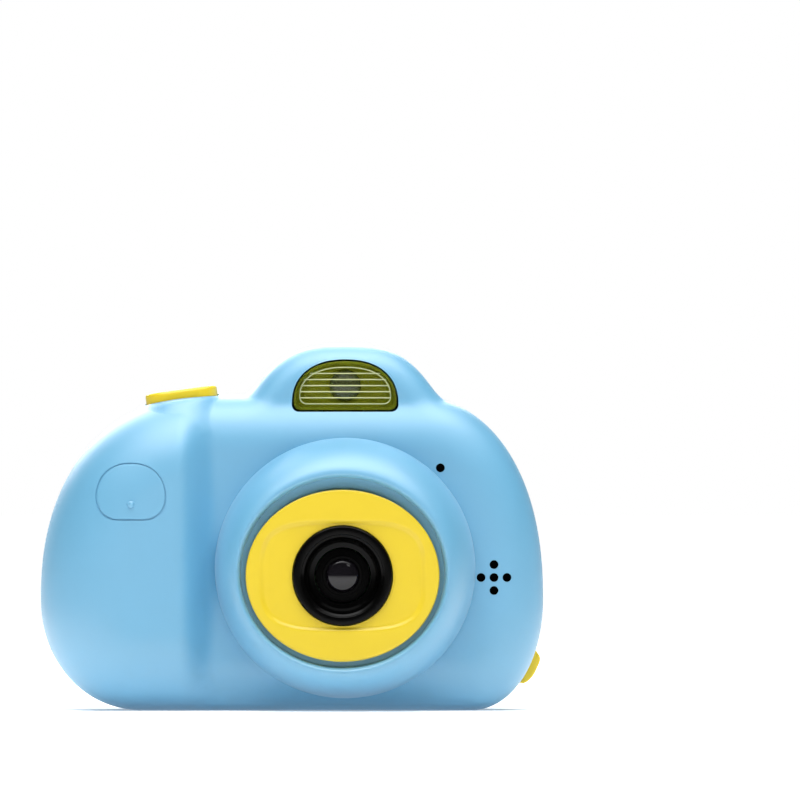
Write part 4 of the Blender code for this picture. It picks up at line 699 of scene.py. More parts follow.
def shape_with(target, joins=(), cuts=()):
    """Join tools onto a piece and cut others out of it, then keep the result as its mesh."""
    for operation, tools in (("UNION", joins), ("DIFFERENCE", cuts)):
        for tool in tools:
            step = target.modifiers.new(tool.name, "BOOLEAN")
            step.operation = operation
            step.object = tool
            step.solver = "EXACT"
    bpy.context.view_layer.update()
    done = target.evaluated_get(bpy.context.evaluated_depsgraph_get())
    mesh = bpy.data.meshes.new_from_object(done)
    target.modifiers.clear()
    target.data = mesh
    for tool in (*joins, *cuts):
        bpy.data.objects.remove(tool, do_unlink=True)
    return target


def dress(obj, look, crease):
    """Give a piece its finish, shaded smooth but for edges sharper than the crease angle."""
    obj.data.materials.clear()
    obj.data.materials.append(look)
    obj.data.shade_smooth()
    obj.data.set_sharp_from_angle(angle=math.radians(crease))


def place_piece(obj, look, body, stands_for=(), crease=32):
    """Dress a piece and let it move with its body, in place of the nodes that it stands for."""
    dress(obj, look, crease)
    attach(obj, body)
    if stands_for:
        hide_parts(*stands_for)


# Body outline and depth

def spread_points(points, count, turn_share):
    """Points spread along a closed line, closer together where it turns."""
    closed = np.vstack([points, points[:1]])
    steps = np.diff(closed, axis=0)
    lengths = np.hypot(steps[:, 0], steps[:, 1])
    headings = np.unwrap(np.arctan2(steps[:, 1], steps[:, 0]))
    turns = np.abs(np.diff(np.append(headings, headings[0] + 2 * math.pi)))
    measure = lengths / lengths.sum() + turn_share * turns / turns.sum()
    along = np.concatenate([[0.0], np.cumsum(measure)])
    wanted = np.linspace(0.0, along[-1], count, endpoint=False)
    return np.stack([np.interp(wanted, along, closed[:, i]) for i in (0, 1)], axis=1)


def plain_outline():
    """The body without its hump, anticlockwise from the right waist."""
    half, rise = WIDTH / 2, SHOULDER_HEIGHT - WAIST_HEIGHT
    quarters = (
        (SHOULDER_RIGHT, half - SHOULDER_RIGHT, rise, SHOULDER_POWER, 0),
        (-SHOULDER_LEFT, half - SHOULDER_LEFT, rise, SHOULDER_POWER, 90),
        (-BASE_LEFT, half - BASE_LEFT, WAIST_HEIGHT, CORNER_POWER, 180),
        (BASE_RIGHT, half - BASE_RIGHT, WAIST_HEIGHT, CORNER_POWER, 270),
    )
    runs = []
    for centre_x, half_x, half_z, power, start in quarters:
        run = superellipse(half_x, half_z, power, start, start + 90, QUARTER_POINTS)
        runs.append(run + (centre_x, WAIST_HEIGHT))
    return spread_points(np.vstack(runs), OUTLINE_POINTS, 0.0)


def smooth_max(a, b, fillet):
    blend = np.maximum(fillet - np.abs(a - b), 0.0) / fillet
    return np.maximum(a, b) + blend * blend * fillet / 4


def humped_outline():
    """The whole silhouette."""
    points = plain_outline()
    share = np.abs(points[:, 0] - HUMP_X) / HUMP_HALF_WIDTH
    hump = SHOULDER_HEIGHT + HUMP_HEIGHT * (1.0 - share ** 3)
    upper = points[:, 1] > WAIST_HEIGHT
    points[upper, 1] = smooth_max(points[:, 1], hump, HUMP_FILLET)[upper]
    return points


PLAIN = plain_outline()
HUMPED = humped_outline()


def outward(points):
    """Outward normals of a closed anticlockwise line."""
    along = np.roll(points, -1, axis=0) - np.roll(points, 1, axis=0)
    normals = np.stack([along[:, 1], -along[:, 0]], axis=1)
    return normals / np.linalg.norm(normals, axis=1, keepdims=True)


def inset(points, line):
    """How far points lie inside a closed line, 0 outside it."""
    start = line[None, :, :]
    step = (np.roll(line, -1, axis=0) - line)[None, :, :]
    offset = points[:, None, :] - start
    share = np.clip((offset * step).sum(2) / (step * step).sum(2), 0.0, 1.0)
    distance = np.linalg.norm(offset - share[:, :, None] * step, axis=2).min(axis=1)
    x, z = points[:, 0:1], points[:, 1:2]
    x0, z0 = line[:, 0][None, :], line[:, 1][None, :]
    x1, z1 = np.roll(line, -1, axis=0).T[:, None, :]
    spans = (z0 > z) != (z1 > z)
    rise = np.where(spans, z1 - z0, 1.0)
    crossings = spans & (x < x0 + (z - z0) * (x1 - x0) / rise)
    return np.where(crossings.sum(axis=1) % 2 == 1, distance, 0.0)


def quarter_round(share):
    return np.sqrt(1.0 - (1.0 - np.clip(share, 0.0, 1.0)) ** 2)


def smooth_step(share):
    share = np.clip(share, 0.0, 1.0)
    return share * share * (3.0 - 2.0 * share)


def front_depth(points):
    """Depth of the front surface in front of the parting plane, without the lens boss."""
    points = np.atleast_2d(points)
    inside = inset(points, PLAIN)
    face = (FACE_DEPTH - FRONT_STRAIGHT) * quarter_round(inside / FACE_ROUND)
    grip = (GRIP_DEPTH - FRONT_STRAIGHT) * quarter_round(inside / GRIP_ROUND)
    from_grip = (points[:, 0] + GRIP_EDGE_X) / GRIP_SLOPE + 0.5
    body = grip + (face - grip) * smooth_step(from_grip)
    hump = (HUMP_DEPTH - FRONT_STRAIGHT) * quarter_round(inset(points, HUMPED) / HUMP_ROUND)
    return FRONT_STRAIGHT + (body ** BLEND_POWER + hump ** BLEND_POWER) ** (1 / BLEND_POWER)


def rear_depth(points):
    """Depth of the plain rear surface behind the parting plane."""
    rounding = quarter_round(inset(np.atleast_2d(points), HUMPED) / REAR_ROUND)
    return REAR_STRAIGHT + (REAR_DEPTH - REAR_STRAIGHT) * rounding


def in_front(points, depth):
    """Points of the x-z plane at a depth in front of the parting plane."""
    depth = np.broadcast_to(depth, len(points))
    return np.stack([points[:, 0], PART_Y - depth, points[:, 1]], axis=1)


def behind(points, depth):
    """Points of the x-z plane at a depth behind the parting plane."""
    return in_front(points, -np.asarray(depth))


# Front shell

def front_shell_solid():
    """The front shell as one ring of loops: outside, lens boss, recess, lens hole, inside, seam."""
    line = spread_points(HUMPED, ROUND_POINTS, 1.0)
    normal = outward(line)
    ray = line - LENS
    angle = np.arctan2(ray[:, 1], ray[:, 0])
    reach = np.linalg.norm(ray, axis=1)
    along = np.stack([np.cos(angle), np.sin(angle)], axis=1)

    def at(radius):
        return LENS + along * np.reshape(radius, (-1, 1))

    def oval(half_x, half_z):
        return half_x * half_z / np.hypot(half_z * along[:, 0], half_x * along[:, 1])

    shift = along @ np.array([BOSS_SHIFT_X, BOSS_SHIFT_Z])
    shift_square = BOSS_SHIFT_X ** 2 + BOSS_SHIFT_Z ** 2
    base = shift + np.sqrt(BOSS_RADIUS ** 2 - shift_square + shift ** 2)
    base = np.minimum(base, reach - WALL / 2)
    lip = oval(LIP_HALF_X, LIP_HALF_Z) + LIP_RISE * along[:, 1]
    well = oval(TRIM_HALF_X + FIT_GAP, TRIM_HALF_Z + FIT_GAP)
    crease = at(base)
    crease_depth = front_depth(crease)
    floor_depth = LIP_DEPTH - RECESS_DEPTH
    hole = np.full(len(line), HOOD_RADIUS + FIT_GAP)

    loops = [in_front(line, FIT_GAP / 2), in_front(line, FRONT_STRAIGHT)]
    for share in np.linspace(0.0, 1.0, FACE_LOOPS)[1:-1] ** FACE_CROWDING:
        points = line + share * (crease - line)
        loops.append(in_front(points, front_depth(points)))
    for out, rise in superellipse(1.0, 1.0, BOSS_POWER, 0, 90, 18):
        radius = lip + (base - lip) * out
        loops.append(in_front(at(radius), crease_depth + (LIP_DEPTH - crease_depth) * rise))
    for inwards, rise in superellipse(LIP_ROUND, GROOVE_DEPTH, 2.0, 90, 0, 12)[1:]:
        loops.append(in_front(at(lip - inwards), LIP_DEPTH - GROOVE_DEPTH + rise))
    steps = (
        (well, LIP_DEPTH - GROOVE_DEPTH),
        (well, floor_depth),
        (hole, floor_depth),
        (hole, floor_depth - WALL),
        (lip + WALL / 3, floor_depth - WALL),
    )
    loops += [in_front(at(radius), depth) for radius, depth in steps]
    inner_crease = at(base - INNER_WALL)
    inner_line = line - normal * WALL
    for share in np.linspace(0.0, 1.0, 10):
        points = inner_crease + share * (inner_line - inner_crease)
        loops.append(in_front(points, front_depth(points) - INNER_WALL))
    seam_line = line - normal * (WALL / 2)
    tongue_room = SEAM_LIP + FIT_GAP
    loops += [in_front(inner_line, tongue_room), in_front(seam_line, tongue_room)]
    loops.append(in_front(seam_line, FIT_GAP / 2))
    return loft("front_shell_smooth", loops, ring=True)


def surface_patch(name, outline, x, z, outside, inside, rings=9):
    """A slab that follows the front surface, from outside it to inside it, under an outline."""
    rim = np.array(outline)
    middle = rim.mean(axis=0)
    front = [middle + (rim - middle) * share + (x, z) for share in np.linspace(0.02, 1.0, rings)]
    loops = [in_front(points, front_depth(points) + outside) for points in front]
    loops += [in_front(points, front_depth(points) - inside) for points in reversed(front)]
    return loft(name, loops)


def badge_outline(grow=0.0):
    outline = d_outline(BADGE_WIDTH, BADGE_HEIGHT, BADGE_CORNER, BADGE_POWER, grow)
    return [(u, v - BADGE_HEIGHT / 2) for u, v in outline]


def shutter_frame():
    """A frame on the pad of the shutter button, third axis out of the pad."""
    place = Matrix.Translation((SHUTTER_X, SHUTTER_Y, SHUTTER_Z))
    return place @ Matrix.Rotation(-SHUTTER_TILT, 4, "Y")


def shutter_hole(name):
    """A cutter for the opening in which the shutter button runs."""
    cap = oblong(SHUTTER_LENGTH + 2 * RUN_GAP, SHUTTER_WIDTH + 2 * RUN_GAP)
    return prism(name, [cap], (-3 * WALL, 2 * WALL), shutter_frame())


def outline_top(x):
    """Height of the silhouette at x."""
    upper = HUMPED[HUMPED[:, 1] > WAIST_HEIGHT]
    upper = upper[np.argsort(upper[:, 0])]
    return np.interp(x, upper[:, 0], upper[:, 1])


def body_top(x, y):
    """Height of the plain body's upper surface over points of the x-y plane."""
    depth = PART_Y - y
    high = outline_top(x)
    low = high - 2 * PAD_COVER_FRONT
    for _ in range(HEIGHT_HALVINGS):
        middle = (low + high) / 2
        points = np.stack([x, middle], axis=1)
        covered = np.where(depth > 0, front_depth(points), rear_depth(points)) > np.abs(depth)
        low = np.where(covered, middle, low)
        high = np.where(covered, high, middle)
    return low


def pad_top(x, y):
    """Height of the shutter pad: a sloping oval plane with soft steep sides."""
    across = np.abs(x - SHUTTER_X)
    along = np.abs(y - PART_Y)
    half_y = np.where(y < PART_Y, PAD_FRONT, PAD_BACK)
    half_x = SHUTTER_LENGTH / 2 + PAD_MARGIN
    size = ((across / half_x) ** PAD_POWER + (along / half_y) ** PAD_POWER) ** (1 / PAD_POWER)
    beyond = np.hypot(across, along) * (1 - 1 / np.maximum(size, 0.1))
    fall = PAD_STEEPNESS * (beyond + np.hypot(beyond, PAD_EDGE)) / 2
    return SHUTTER_Z + math.tan(SHUTTER_TILT) * (x - SHUTTER_X) - fall


def shutter_mound(name, seam, depth_at, cover):
    """The rise round the shutter button on one shell, run smoothly into the body, with the button's hole."""
    loops = []
    for x in np.linspace(SHUTTER_X - PAD_REACH, SHUTTER_X + PAD_REACH, MOUND_COLUMNS):
        edge = (x, float(outline_top(x)) - cover)
        limit = PART_Y + math.copysign(float(depth_at([edge])[0]), seam - PART_Y)
        y = np.linspace(limit, seam, MOUND_ROWS)
        column = np.full(len(y), x)
        top = smooth_max(body_top(column, y), pad_top(column, y), PAD_FILLET) - PAD_SINK
        upper = np.stack([column, y, top], axis=1)
        loops.append(np.vstack([upper, upper[::-1] - (0.0, 0.0, WALL / 2)]))
    mound = shape_with(loft(name, loops), cuts=[shutter_hole(name + "_hole")])
    place_piece(mound, BLUE, "camera")


def speaker_spots():
    pitch = SPEAKER_PITCH
    offsets = ((0, 0), (pitch, 0), (-pitch, 0), (0, pitch), (0, -pitch))
    return [(SPEAKER_X + u, SPEAKER_Z + v) for u, v in offsets]


def flash_outline(grow=0.0):
    return d_outline(FLASH_WIDTH, FLASH_HEIGHT, FLASH_CORNER, FLASH_POWER, grow)


def front_shell():
    shell = front_shell_solid()
    front, back = PART_Y - LIP_DEPTH, PART_Y - SPEAKER_BACK + WALL
    cuts = [
        plate("flash_opening", flash_outline(FIT_GAP), front, PART_Y - FIT_GAP, FLASH_X, FLASH_Z),
        surface_patch("badge_recess", badge_outline(BADGE_GROOVE), BADGE_X, BADGE_Z, 2 * WALL, BADGE_THICK),
        shutter_hole("shutter_hole"),
        rods("sound_holes", speaker_spots() + [(MIC_X, MIC_Z)], HOLE_RADIUS, front, back, 32),
    ]
    shape_with(shell, cuts=cuts)
    place_piece(shell, BLUE, "camera", ["front_shell"])
    shutter_mound("shutter_mound_front", PART_Y - FIT_GAP / 2, front_depth, PAD_COVER_FRONT)


# Front camera, flash and badge

def trim_sink(x, z):
    """How deep the trim's face lies under its rim: a soft-edged barrel-shaped panel."""
    across = np.abs(x) / (TRIM_PANEL_X / 2)
    up = np.abs(z) / (TRIM_PANEL_Z / 2)
    size = (across ** TRIM_PANEL_POWER + up ** TRIM_PANEL_POWER) ** (1 / TRIM_PANEL_POWER)
    inside = (1 - size) * TRIM_PANEL_Z / 2
    return TRIM_PANEL_SINK * smooth_step(inside / TRIM_PANEL_SOFT + 0.5)


def lens_trim():
    """The yellow oval round the lens, with a rounded rim and a sunk panel."""
    angles = np.linspace(0.0, 2 * math.pi, 240, endpoint=False)
    along = np.stack([np.cos(angles), np.sin(angles)], axis=1)
    edge = TRIM_HALF_X * TRIM_HALF_Z / np.hypot(TRIM_HALF_Z * along[:, 0], TRIM_HALF_X * along[:, 1])
    hole = HOOD_RADIUS + FIT_GAP / 2
    loops = []

    def add(radius, drop):
        points = along * np.reshape(np.broadcast_to(radius, len(angles)), (-1, 1))
        y = np.broadcast_to(TRIM_Y + drop, len(angles))
        loops.append(np.stack([points[:, 0] + LENS_X, y, points[:, 1] + LENS_Z], axis=1))

    add(edge, TRIM_THICK)
    for out, drop in arc((-TRIM_EDGE, TRIM_EDGE), TRIM_EDGE, 0, -90, 6):
        add(edge + out, drop)
    for share in np.linspace(0.0, 1.0, TRIM_LOOPS)[1:]:
        radius = (edge - TRIM_EDGE) + share * (hole - edge + TRIM_EDGE)
        points = along * radius[:, None]
        add(radius, trim_sink(points[:, 0], points[:, 1]))
    add(hole, TRIM_THICK)
    trim = loft("lens_trim_smooth", loops, ring=True)
    place_piece(trim, YELLOW, "camera", ["lens_trim"])


def lens_hood():
    """A stepped black ring: flat rim, bevel, then a cone down to the barrel."""
    front = TRIM_Y - HOOD_PROUD
    back = RECESS_BACK_Y + FIT_GAP
    outer, inner = HOOD_RIM / 3, HOOD_RIM / 4
    profile = [(HOOD_RADIUS, back)]
    profile += arc((HOOD_RADIUS - outer, front + outer), outer, 0, -90, 6)
    profile += arc((HOOD_RIM_INNER, front + inner), inner, 270, 180, 5)
    profile += [(radius, front + depth) for radius, depth in HOOD_STEPS]
    profile += [
        (HOOD_THROAT, BARREL_Y - FIT_GAP),
        (BARREL_RADIUS + FIT_GAP, BARREL_Y - FIT_GAP / 2),
        (BARREL_RADIUS + FIT_GAP, back),
    ]
    ring = turned("lens_hood_smooth", profile, LENS_X, LENS_Z, ring=True, sides=160)
    place_piece(ring, BLACK, "camera", ["lens_hood"], crease=25)


def lens_cell():
    """The lens cell with a thin ring round the front glass, and the domed glass itself."""
    seat = GLASS_RADIUS + FIT_GAP / 3
    rim = GLASS_RADIUS + SEAT_RIM
    step = BARREL_STEP
    profile = (
        (0.0, SEAT_DEPTH),
        (seat, SEAT_DEPTH),
        (seat, -step / 2),
        (rim, -step / 2),
        (rim + step / 2, step),
        (BARREL_RADIUS - 2 * step, 2 * step),
        (BARREL_RADIUS, 3 * step),
        (BARREL_RADIUS, BARREL_LENGTH),
        (0.0, BARREL_LENGTH),
    )
    profile = [(radius, BARREL_Y + depth) for radius, depth in profile]
    cell = turned("lens_barrel_smooth", profile, LENS_X, LENS_Z)
    place_piece(cell, SATIN_BLACK, "camera", ["lens_barrel"])
    back = BARREL_Y + GLASS_THICK
    dome = oval_arc((0.0, BARREL_Y), GLASS_RADIUS, GLASS_BULGE, -90, 0, 18)
    dome += [(GLASS_RADIUS, back), (0.0, back)]
    place_piece(turned("lens_glass", dome, LENS_X, LENS_Z), GLASS, "camera", ["lens_element"])


def flash_parts():
    """The clear window, the ridged reflector cup behind it and the lamp."""
    back = FLASH_Y + FLASH_THICK
    window = plate("flash_window_smooth", flash_outline(), FLASH_Y, back, FLASH_X, FLASH_Z, FLASH_EDGE)
    place_piece(window, CLEAR, "camera", ["flash_window"])
    cup = (
        (0.0, REFLECTOR_DEPTH),
        (0.0, 0.0),
        (-0.5, 0.0),
        (-0.9, REFLECTOR_BEND),
        (-2.2, REFLECTOR_DEPTH - REFLECTOR_WALL),
    )
    loops = []
    for walls, depth in cup:
        ring = flash_outline(walls * REFLECTOR_WALL)
        loops.append([(FLASH_X + u, REFLECTOR_Y + depth, FLASH_Z + v) for u, v in ring])
    place_piece(loft("flash_cup", loops), MIRROR, "camera", ["flash_reflector"])
    flash_ridges()
    tip = REFLECTOR_Y + LAMP_SINK
    dome = oval_arc((0.0, tip + LAMP_DOME), LAMP_RADIUS, LAMP_DOME, -90, 0, 12)
    dome += [(LAMP_RADIUS, tip + LAMP_HEIGHT), (0.0, tip + LAMP_HEIGHT)]
    lamp = turned("flash_lamp", dome, FLASH_X, FLASH_Z + FLASH_HEIGHT / 2)
    place_piece(lamp, LAMP, "camera", ["flash_led"])


def flash_ridges():
    """The rim of the reflector and the level ridges across it, in a pale finish that paints the highlight
    they catch.
    """
    inner = np.array(flash_outline(-1.3 * REFLECTOR_WALL))
    rim = [(FLASH_X + u, REFLECTOR_Y, FLASH_Z + v) for u, v in inner]
    place_piece(tube("flash_rim", rim, RIDGE_RADIUS, closed=True), RIDGE_HIGHLIGHT, "camera")
    heights = np.linspace(inner[:, 1].min(), inner[:, 1].max(), REFLECTOR_RIDGES + 2)[1:-1]
    for number, height in enumerate(heights, 1):
        near = np.abs(inner[:, 1] - height) < 5 * RIDGE_RADIUS
        half = np.abs(inner[near, 0]).max()
        ends = [(FLASH_X + side * half, REFLECTOR_Y, FLASH_Z + height) for side in (-1, 1)]
        place_piece(tube(f"flash_ridge_{number}", ends, RIDGE_RADIUS), RIDGE_HIGHLIGHT, "camera")


def grip_badge():
    """The badge and its small nub; a shallow step round its edge leaves a fine line in the grip."""
    def ring(grow, depth, share=1.0):
        points = np.array(badge_outline(grow)) * share + (BADGE_X, BADGE_Z)
        return in_front(points, front_depth(points) - depth)

    loops = [ring(0.0, 0.0, share) for share in np.linspace(0.02, 0.99, 14)]
    loops += [ring(0.0, BADGE_GROOVE / 4), ring(0.0, BADGE_GROOVE)]
    loops += [ring(BADGE_SKIRT, BADGE_GROOVE), ring(BADGE_SKIRT, BADGE_THICK - FIT_GAP)]
    place_piece(loft("grip_badge_smooth", loops), BLUE, "camera", ["grip_badge"])
    x, z = BADGE_X, BADGE_Z - BADGE_NUB_DROP
    y = PART_Y - float(front_depth([(x, z)])[0])
    profile = oval_arc((0.0, y), BADGE_NUB, BADGE_NUB_RISE, -90, 20, 12)
    place_piece(turned("badge_nub", profile, x, z, sides=32), BLUE, "camera")


def shutter_button():
    limits = (-PAD_WALL - RUN_GAP, SHUTTER_PROUD)
    cap = prism("shutter_cap", [oblong(SHUTTER_LENGTH, SHUTTER_WIDTH)], limits, shutter_frame(), SHUTTER_EDGE)
    place_piece(cap, YELLOW, "shutter", ["shutter_button"])


# Rear shell

def panel_outline(grow=0.0):
    """The raised panel on the back: square end beside the screen, round end beside the pad."""
    middle = (PANEL_LOW + PANEL_HIGH) / 2
    half = (PANEL_HIGH - PANEL_LOW) / 2 + grow
    end = superellipse(PANEL_END + grow, half, PANEL_POWER, 90, 270, 90) + (PANEL_END - PANEL_LEFT, middle)
    x = PANEL_RIGHT - PANEL_CORNER
    corner = PANEL_CORNER + grow
    low = arc((x, PANEL_LOW + PANEL_CORNER), corner, 270, 360, 16)
    high = arc((x, PANEL_HIGH - PANEL_CORNER), corner, 0, 90, 16)
    return [tuple(p) for p in end] + low + high


def rear_shell_solid():
    """The rear shell from its flat back round the edge, over the seam's tongue and back inside."""
    line = spread_points(HUMPED, ROUND_POINTS, 1.0)
    normal = outward(line)

    def ring(inwards, depth):
        lean = REAR_TAPER * min(max(depth / REAR_STRAIGHT, 0.0), 1.0)
        points = line - normal * inwards
        points[:, 0] -= normal[:, 0] * lean
        return behind(points, depth)

    corner = (REAR_ROUND, REAR_STRAIGHT)
    rounding = REAR_DEPTH - REAR_STRAIGHT
    tongue = WALL / 2 + FIT_GAP
    section = oval_arc(corner, REAR_ROUND, rounding, 90, 180, 16)
    section += [(0.0, FIT_GAP / 2), (tongue, FIT_GAP / 2), (tongue, -SEAM_LIP), (WALL, -SEAM_LIP)]
    section += oval_arc(corner, REAR_ROUND - WALL, rounding - WALL, 180, 90, 8)
    return loft("rear_shell_smooth", [ring(inwards, depth) for inwards, depth in section])


def side_path(low, high, count):
    """Points, outward normals and lengths down the right side of the body, top first."""
    normals = outward(HUMPED)
    keep = (HUMPED[:, 0] > BASE_RIGHT) & (HUMPED[:, 1] < SHOULDER_HEIGHT)
    order = np.argsort(-HUMPED[keep, 1])
    line, normal = HUMPED[keep][order], normals[keep][order]
    steps = np.hypot(*np.diff(line, axis=0).T)
    along = np.concatenate([[0.0], np.cumsum(steps)])
    ends = np.interp([-high, -low], -line[:, 1], along)
    wanted = np.linspace(ends[0], ends[1], count)
    points = np.stack([np.interp(wanted, along, line[:, i]) for i in (0, 1)], axis=1)
    across = np.stack([np.interp(wanted, along, normal[:, i]) for i in (0, 1)], axis=1)
    return points, across / np.linalg.norm(across, axis=1, keepdims=True), wanted - wanted[0]


def side_strip(name, low, high, section_at, count=60):
    """A strip along the right side whose section of (out, depth) points may change down its length."""
    points, across, along = side_path(low, high, count)
    loops = []
    for point, normal, run in zip(points, across, along):
        loop = []
        for out, depth in section_at(run, along[-1], point[1]):
            lean = REAR_TAPER * depth / REAR_STRAIGHT
            x, z = point + normal * out
            loop.append((x - normal[0] * lean, PART_Y + depth, z))
        loops.append(loop)
    return loft(name, loops)


def flat_section(near, far, inside, outside):
    """A plain rectangular section, the same all along."""
    return lambda run, length, z: [(-inside, near), (outside, near), (outside, far), (-inside, far)]


def rear_boss():
    """The soft round rise that carries the rear lens window."""
    top = BACK_Y + REAR_BOSS_RISE
    rim = REAR_LENS_RADIUS + FIT_GAP + REAR_BOSS_RIM
    foot = REAR_BOSS_RADIUS + REAR_BOSS_FOOT
    low = BACK_Y - REAR_BOSS_SINK
    profile = [(0.0, FLOOR_Y + WALL / 2), (foot, FLOOR_Y + WALL / 2)]
    for share in np.linspace(0.0, 1.0, 14):
        profile.append((foot + (rim - foot) * share, low + (top - low) * smooth_step(share * 0.9 + 0.1)))
    profile.append((0.0, top))
    return turned("rear_boss", profile, REAR_LENS_X, REAR_LENS_Z, sides=93)


def pad_ring():
    """The flat raised ring round the direction pad."""
    foot, top = PANEL_Y - WALL / 4, PANEL_Y + DPAD_RING_RISE
    inner = DPAD_RADIUS + RUN_GAP - WALL / 4
    outer = DPAD_RADIUS + RUN_GAP + DPAD_RING_WIDTH
    slope = DPAD_RING_WIDTH / 3
    profile = arc((outer - slope, top - slope), slope, 0, 90, 7)
    profile += [(inner, top), (inner, foot), (outer, foot)]
    return turned("pad_ring", profile, DPAD_X, DPAD_Z, ring=True)


def pad_nub():
    """The small dome in the middle of the direction pad."""
    profile = [(0.0, PANEL_Y - WALL / 4), (NUB_RADIUS, PANEL_Y - WALL / 4)]
    profile += oval_arc((0.0, PANEL_Y + BUTTON_PROUD / 4), NUB_RADIUS, 0.75 * BUTTON_PROUD, 0, 90, 9)
    return turned("pad_nub", profile, DPAD_X, DPAD_Z, sides=48)


def rear_shell():
    shell = rear_shell_solid()
    middle_y = FLOOR_Y + WALL / 2
    panel = plate("rear_panel", panel_outline(), middle_y, PANEL_Y, 0.0, 0.0, PANEL_EDGE)
    edge = FRAME_MARGIN / 2
    frame_section = flat_section(PORT_FRONT - edge, PORT_BACK + edge, FRAME_THICK, -WALL / 2)
    port_frame = side_strip("port_frame", PORT_LOW - edge / 2, PORT_TOP + FRAME_MARGIN, frame_section)
    gap = 2 * FIT_GAP
    pocket = rounded_rectangle(SCREEN_WIDTH + gap, SCREEN_HEIGHT + gap, SCREEN_CORNER + FIT_GAP)
    ledge_y = PANEL_Y - SCREEN_SINK - SCREEN_THICK - FIT_GAP
    power = oblong(POWER_WIDTH + 2 * RUN_GAP, POWER_HEIGHT + 2 * RUN_GAP)
    lens_spot, lens_hole = [(REAR_LENS_X, REAR_LENS_Z)], REAR_LENS_RADIUS + FIT_GAP
    lens_ledge = BACK_Y + REAR_BOSS_RISE - REAR_LENS_SINK - REAR_LENS_THICK - FIT_GAP
    plug_hole = PLUG_RADIUS + FIT_GAP / 2
    port_section = flat_section(PORT_FRONT - FIT_GAP, PORT_BACK + FIT_GAP, COVER_THICK + FIT_GAP, 2 * WALL)
    inside, outside = FLOOR_Y - WALL, PANEL_Y + WALL
    cuts = [
        plate("screen_pocket", pocket, ledge_y, outside, SCREEN_X, SCREEN_Z),
        rods("mode_hole", [(MODE_X, MODE_Z)], MODE_RADIUS + RUN_GAP, inside, outside),
        plate("power_hole", power, inside, outside, POWER_X, POWER_Z),
        rods("rear_lens_seat", lens_spot, lens_hole, lens_ledge, BACK_Y + 2 * WALL, 80),
        rods("status_hole", [(STATUS_X, STATUS_Z)], STATUS_HOLE, inside, BACK_Y + WALL, 32),
        rods("plug_holes", SCREW_SPOTS.values(), plug_hole, inside - WALL, BACK_Y + WALL, 48),
        side_strip("port_pocket", PORT_LOW - FIT_GAP, PORT_TOP + FIT_GAP, port_section),
    ]
    for name, turn in DPAD_TURNS.items():
        sector = pad_sector(DPAD_RADIUS + RUN_GAP, DPAD_RIB / 2, DPAD_HUB, turn)
        cuts.append(plate(f"pad_hole_{name}", sector, inside, outside, DPAD_X, DPAD_Z))
    shape_with(shell, [panel, pad_ring(), pad_nub(), rear_boss(), port_frame], cuts)
    place_piece(shell, BLUE, "camera", ["rear_shell"])
    shutter_mound("shutter_mound_rear", PART_Y + FIT_GAP / 2, rear_depth, PAD_COVER_REAR)


def panel_bead():
    """The thin raised line round the panel."""
    points = [(u, PANEL_Y, v) for u, v in panel_outline(-BEAD_RADIUS)]
    place_piece(tube("panel_bead", points, BEAD_RADIUS, closed=True), BLUE, "camera")


def touch_bumps():
    """The column of small raised dots between the screen and the pad."""
    bm = bmesh.new()
    for number in range(BUMP_COUNT):
        place = Matrix.Translation((BUMP_X, PANEL_Y, BUMP_TOP - number * BUMP_STEP))
        bmesh.ops.create_uvsphere(bm, u_segments=20, v_segments=12, radius=BUMP_RADIUS,
                                  matrix=place @ Matrix.Diagonal((1.0, 0.6, 1.0, 1.0)))
    place_piece(mesh_object("touch_bumps", bm), BLUE, "camera")


# Keys and their raised signs

def key(name, outline, x, z, body, stands_for):
    cap = plate(name, outline, BUTTON_FOOT_Y, BUTTON_TOP_Y, x, z, edge=CAP_EDGE)
    place_piece(cap, YELLOW, body, [stands_for])


def sign(name, outlines, x, z, body):
    """A shallow raised sign on a key."""
    limits = (-BUTTON_TOP_Y - SIGN_RISE, -BUTTON_TOP_Y + SIGN_RISE)
    raised = prism(name, outlines, limits, facing_front(x, z), 0.6 * SIGN_RISE)
    place_piece(raised, ICON, body)


def mode_sign():
    """Three level bars."""
    bar = oblong(MODE_BAR_LENGTH, MODE_BAR_WIDTH, 8)
    return [[(u, v + row * MODE_BAR_PITCH) for u, v in bar] for row in (-1, 0, 1)]


def power_sign():
    """An open ring with an upright bar in its gap."""
    bar = oblong(POWER_SIGN_BAR, POWER_SIGN_LINE, 8)
    upright = [(v, u + POWER_SIGN_RISE) for u, v in bar]
    return [band(POWER_SIGN_RADIUS, POWER_SIGN_LINE, 125, 415), upright]


def sun_sign():
    """A disc with six dots round it."""
    spots = arc((0, 0), RAY_REACH, 0, 300, 6)
    return [arc((0, 0), SUN_RADIUS, 0, 345, 24)] + [arc(spot, RAY_RADIUS, 0, 330, 12) for spot in spots]


def chevron(side):
    """A bent bar that points left or right."""
    upper = [(CHEVRON_TIP, 0.0), (CHEVRON_BACK, CHEVRON_HALF), (CHEVRON_BACK, CHEVRON_INNER)]
    lower = [(CHEVRON_NOTCH, 0.0), (CHEVRON_BACK, -CHEVRON_INNER), (CHEVRON_BACK, -CHEVRON_HALF)]
    return [(side * u, v) for u, v in upper + lower]


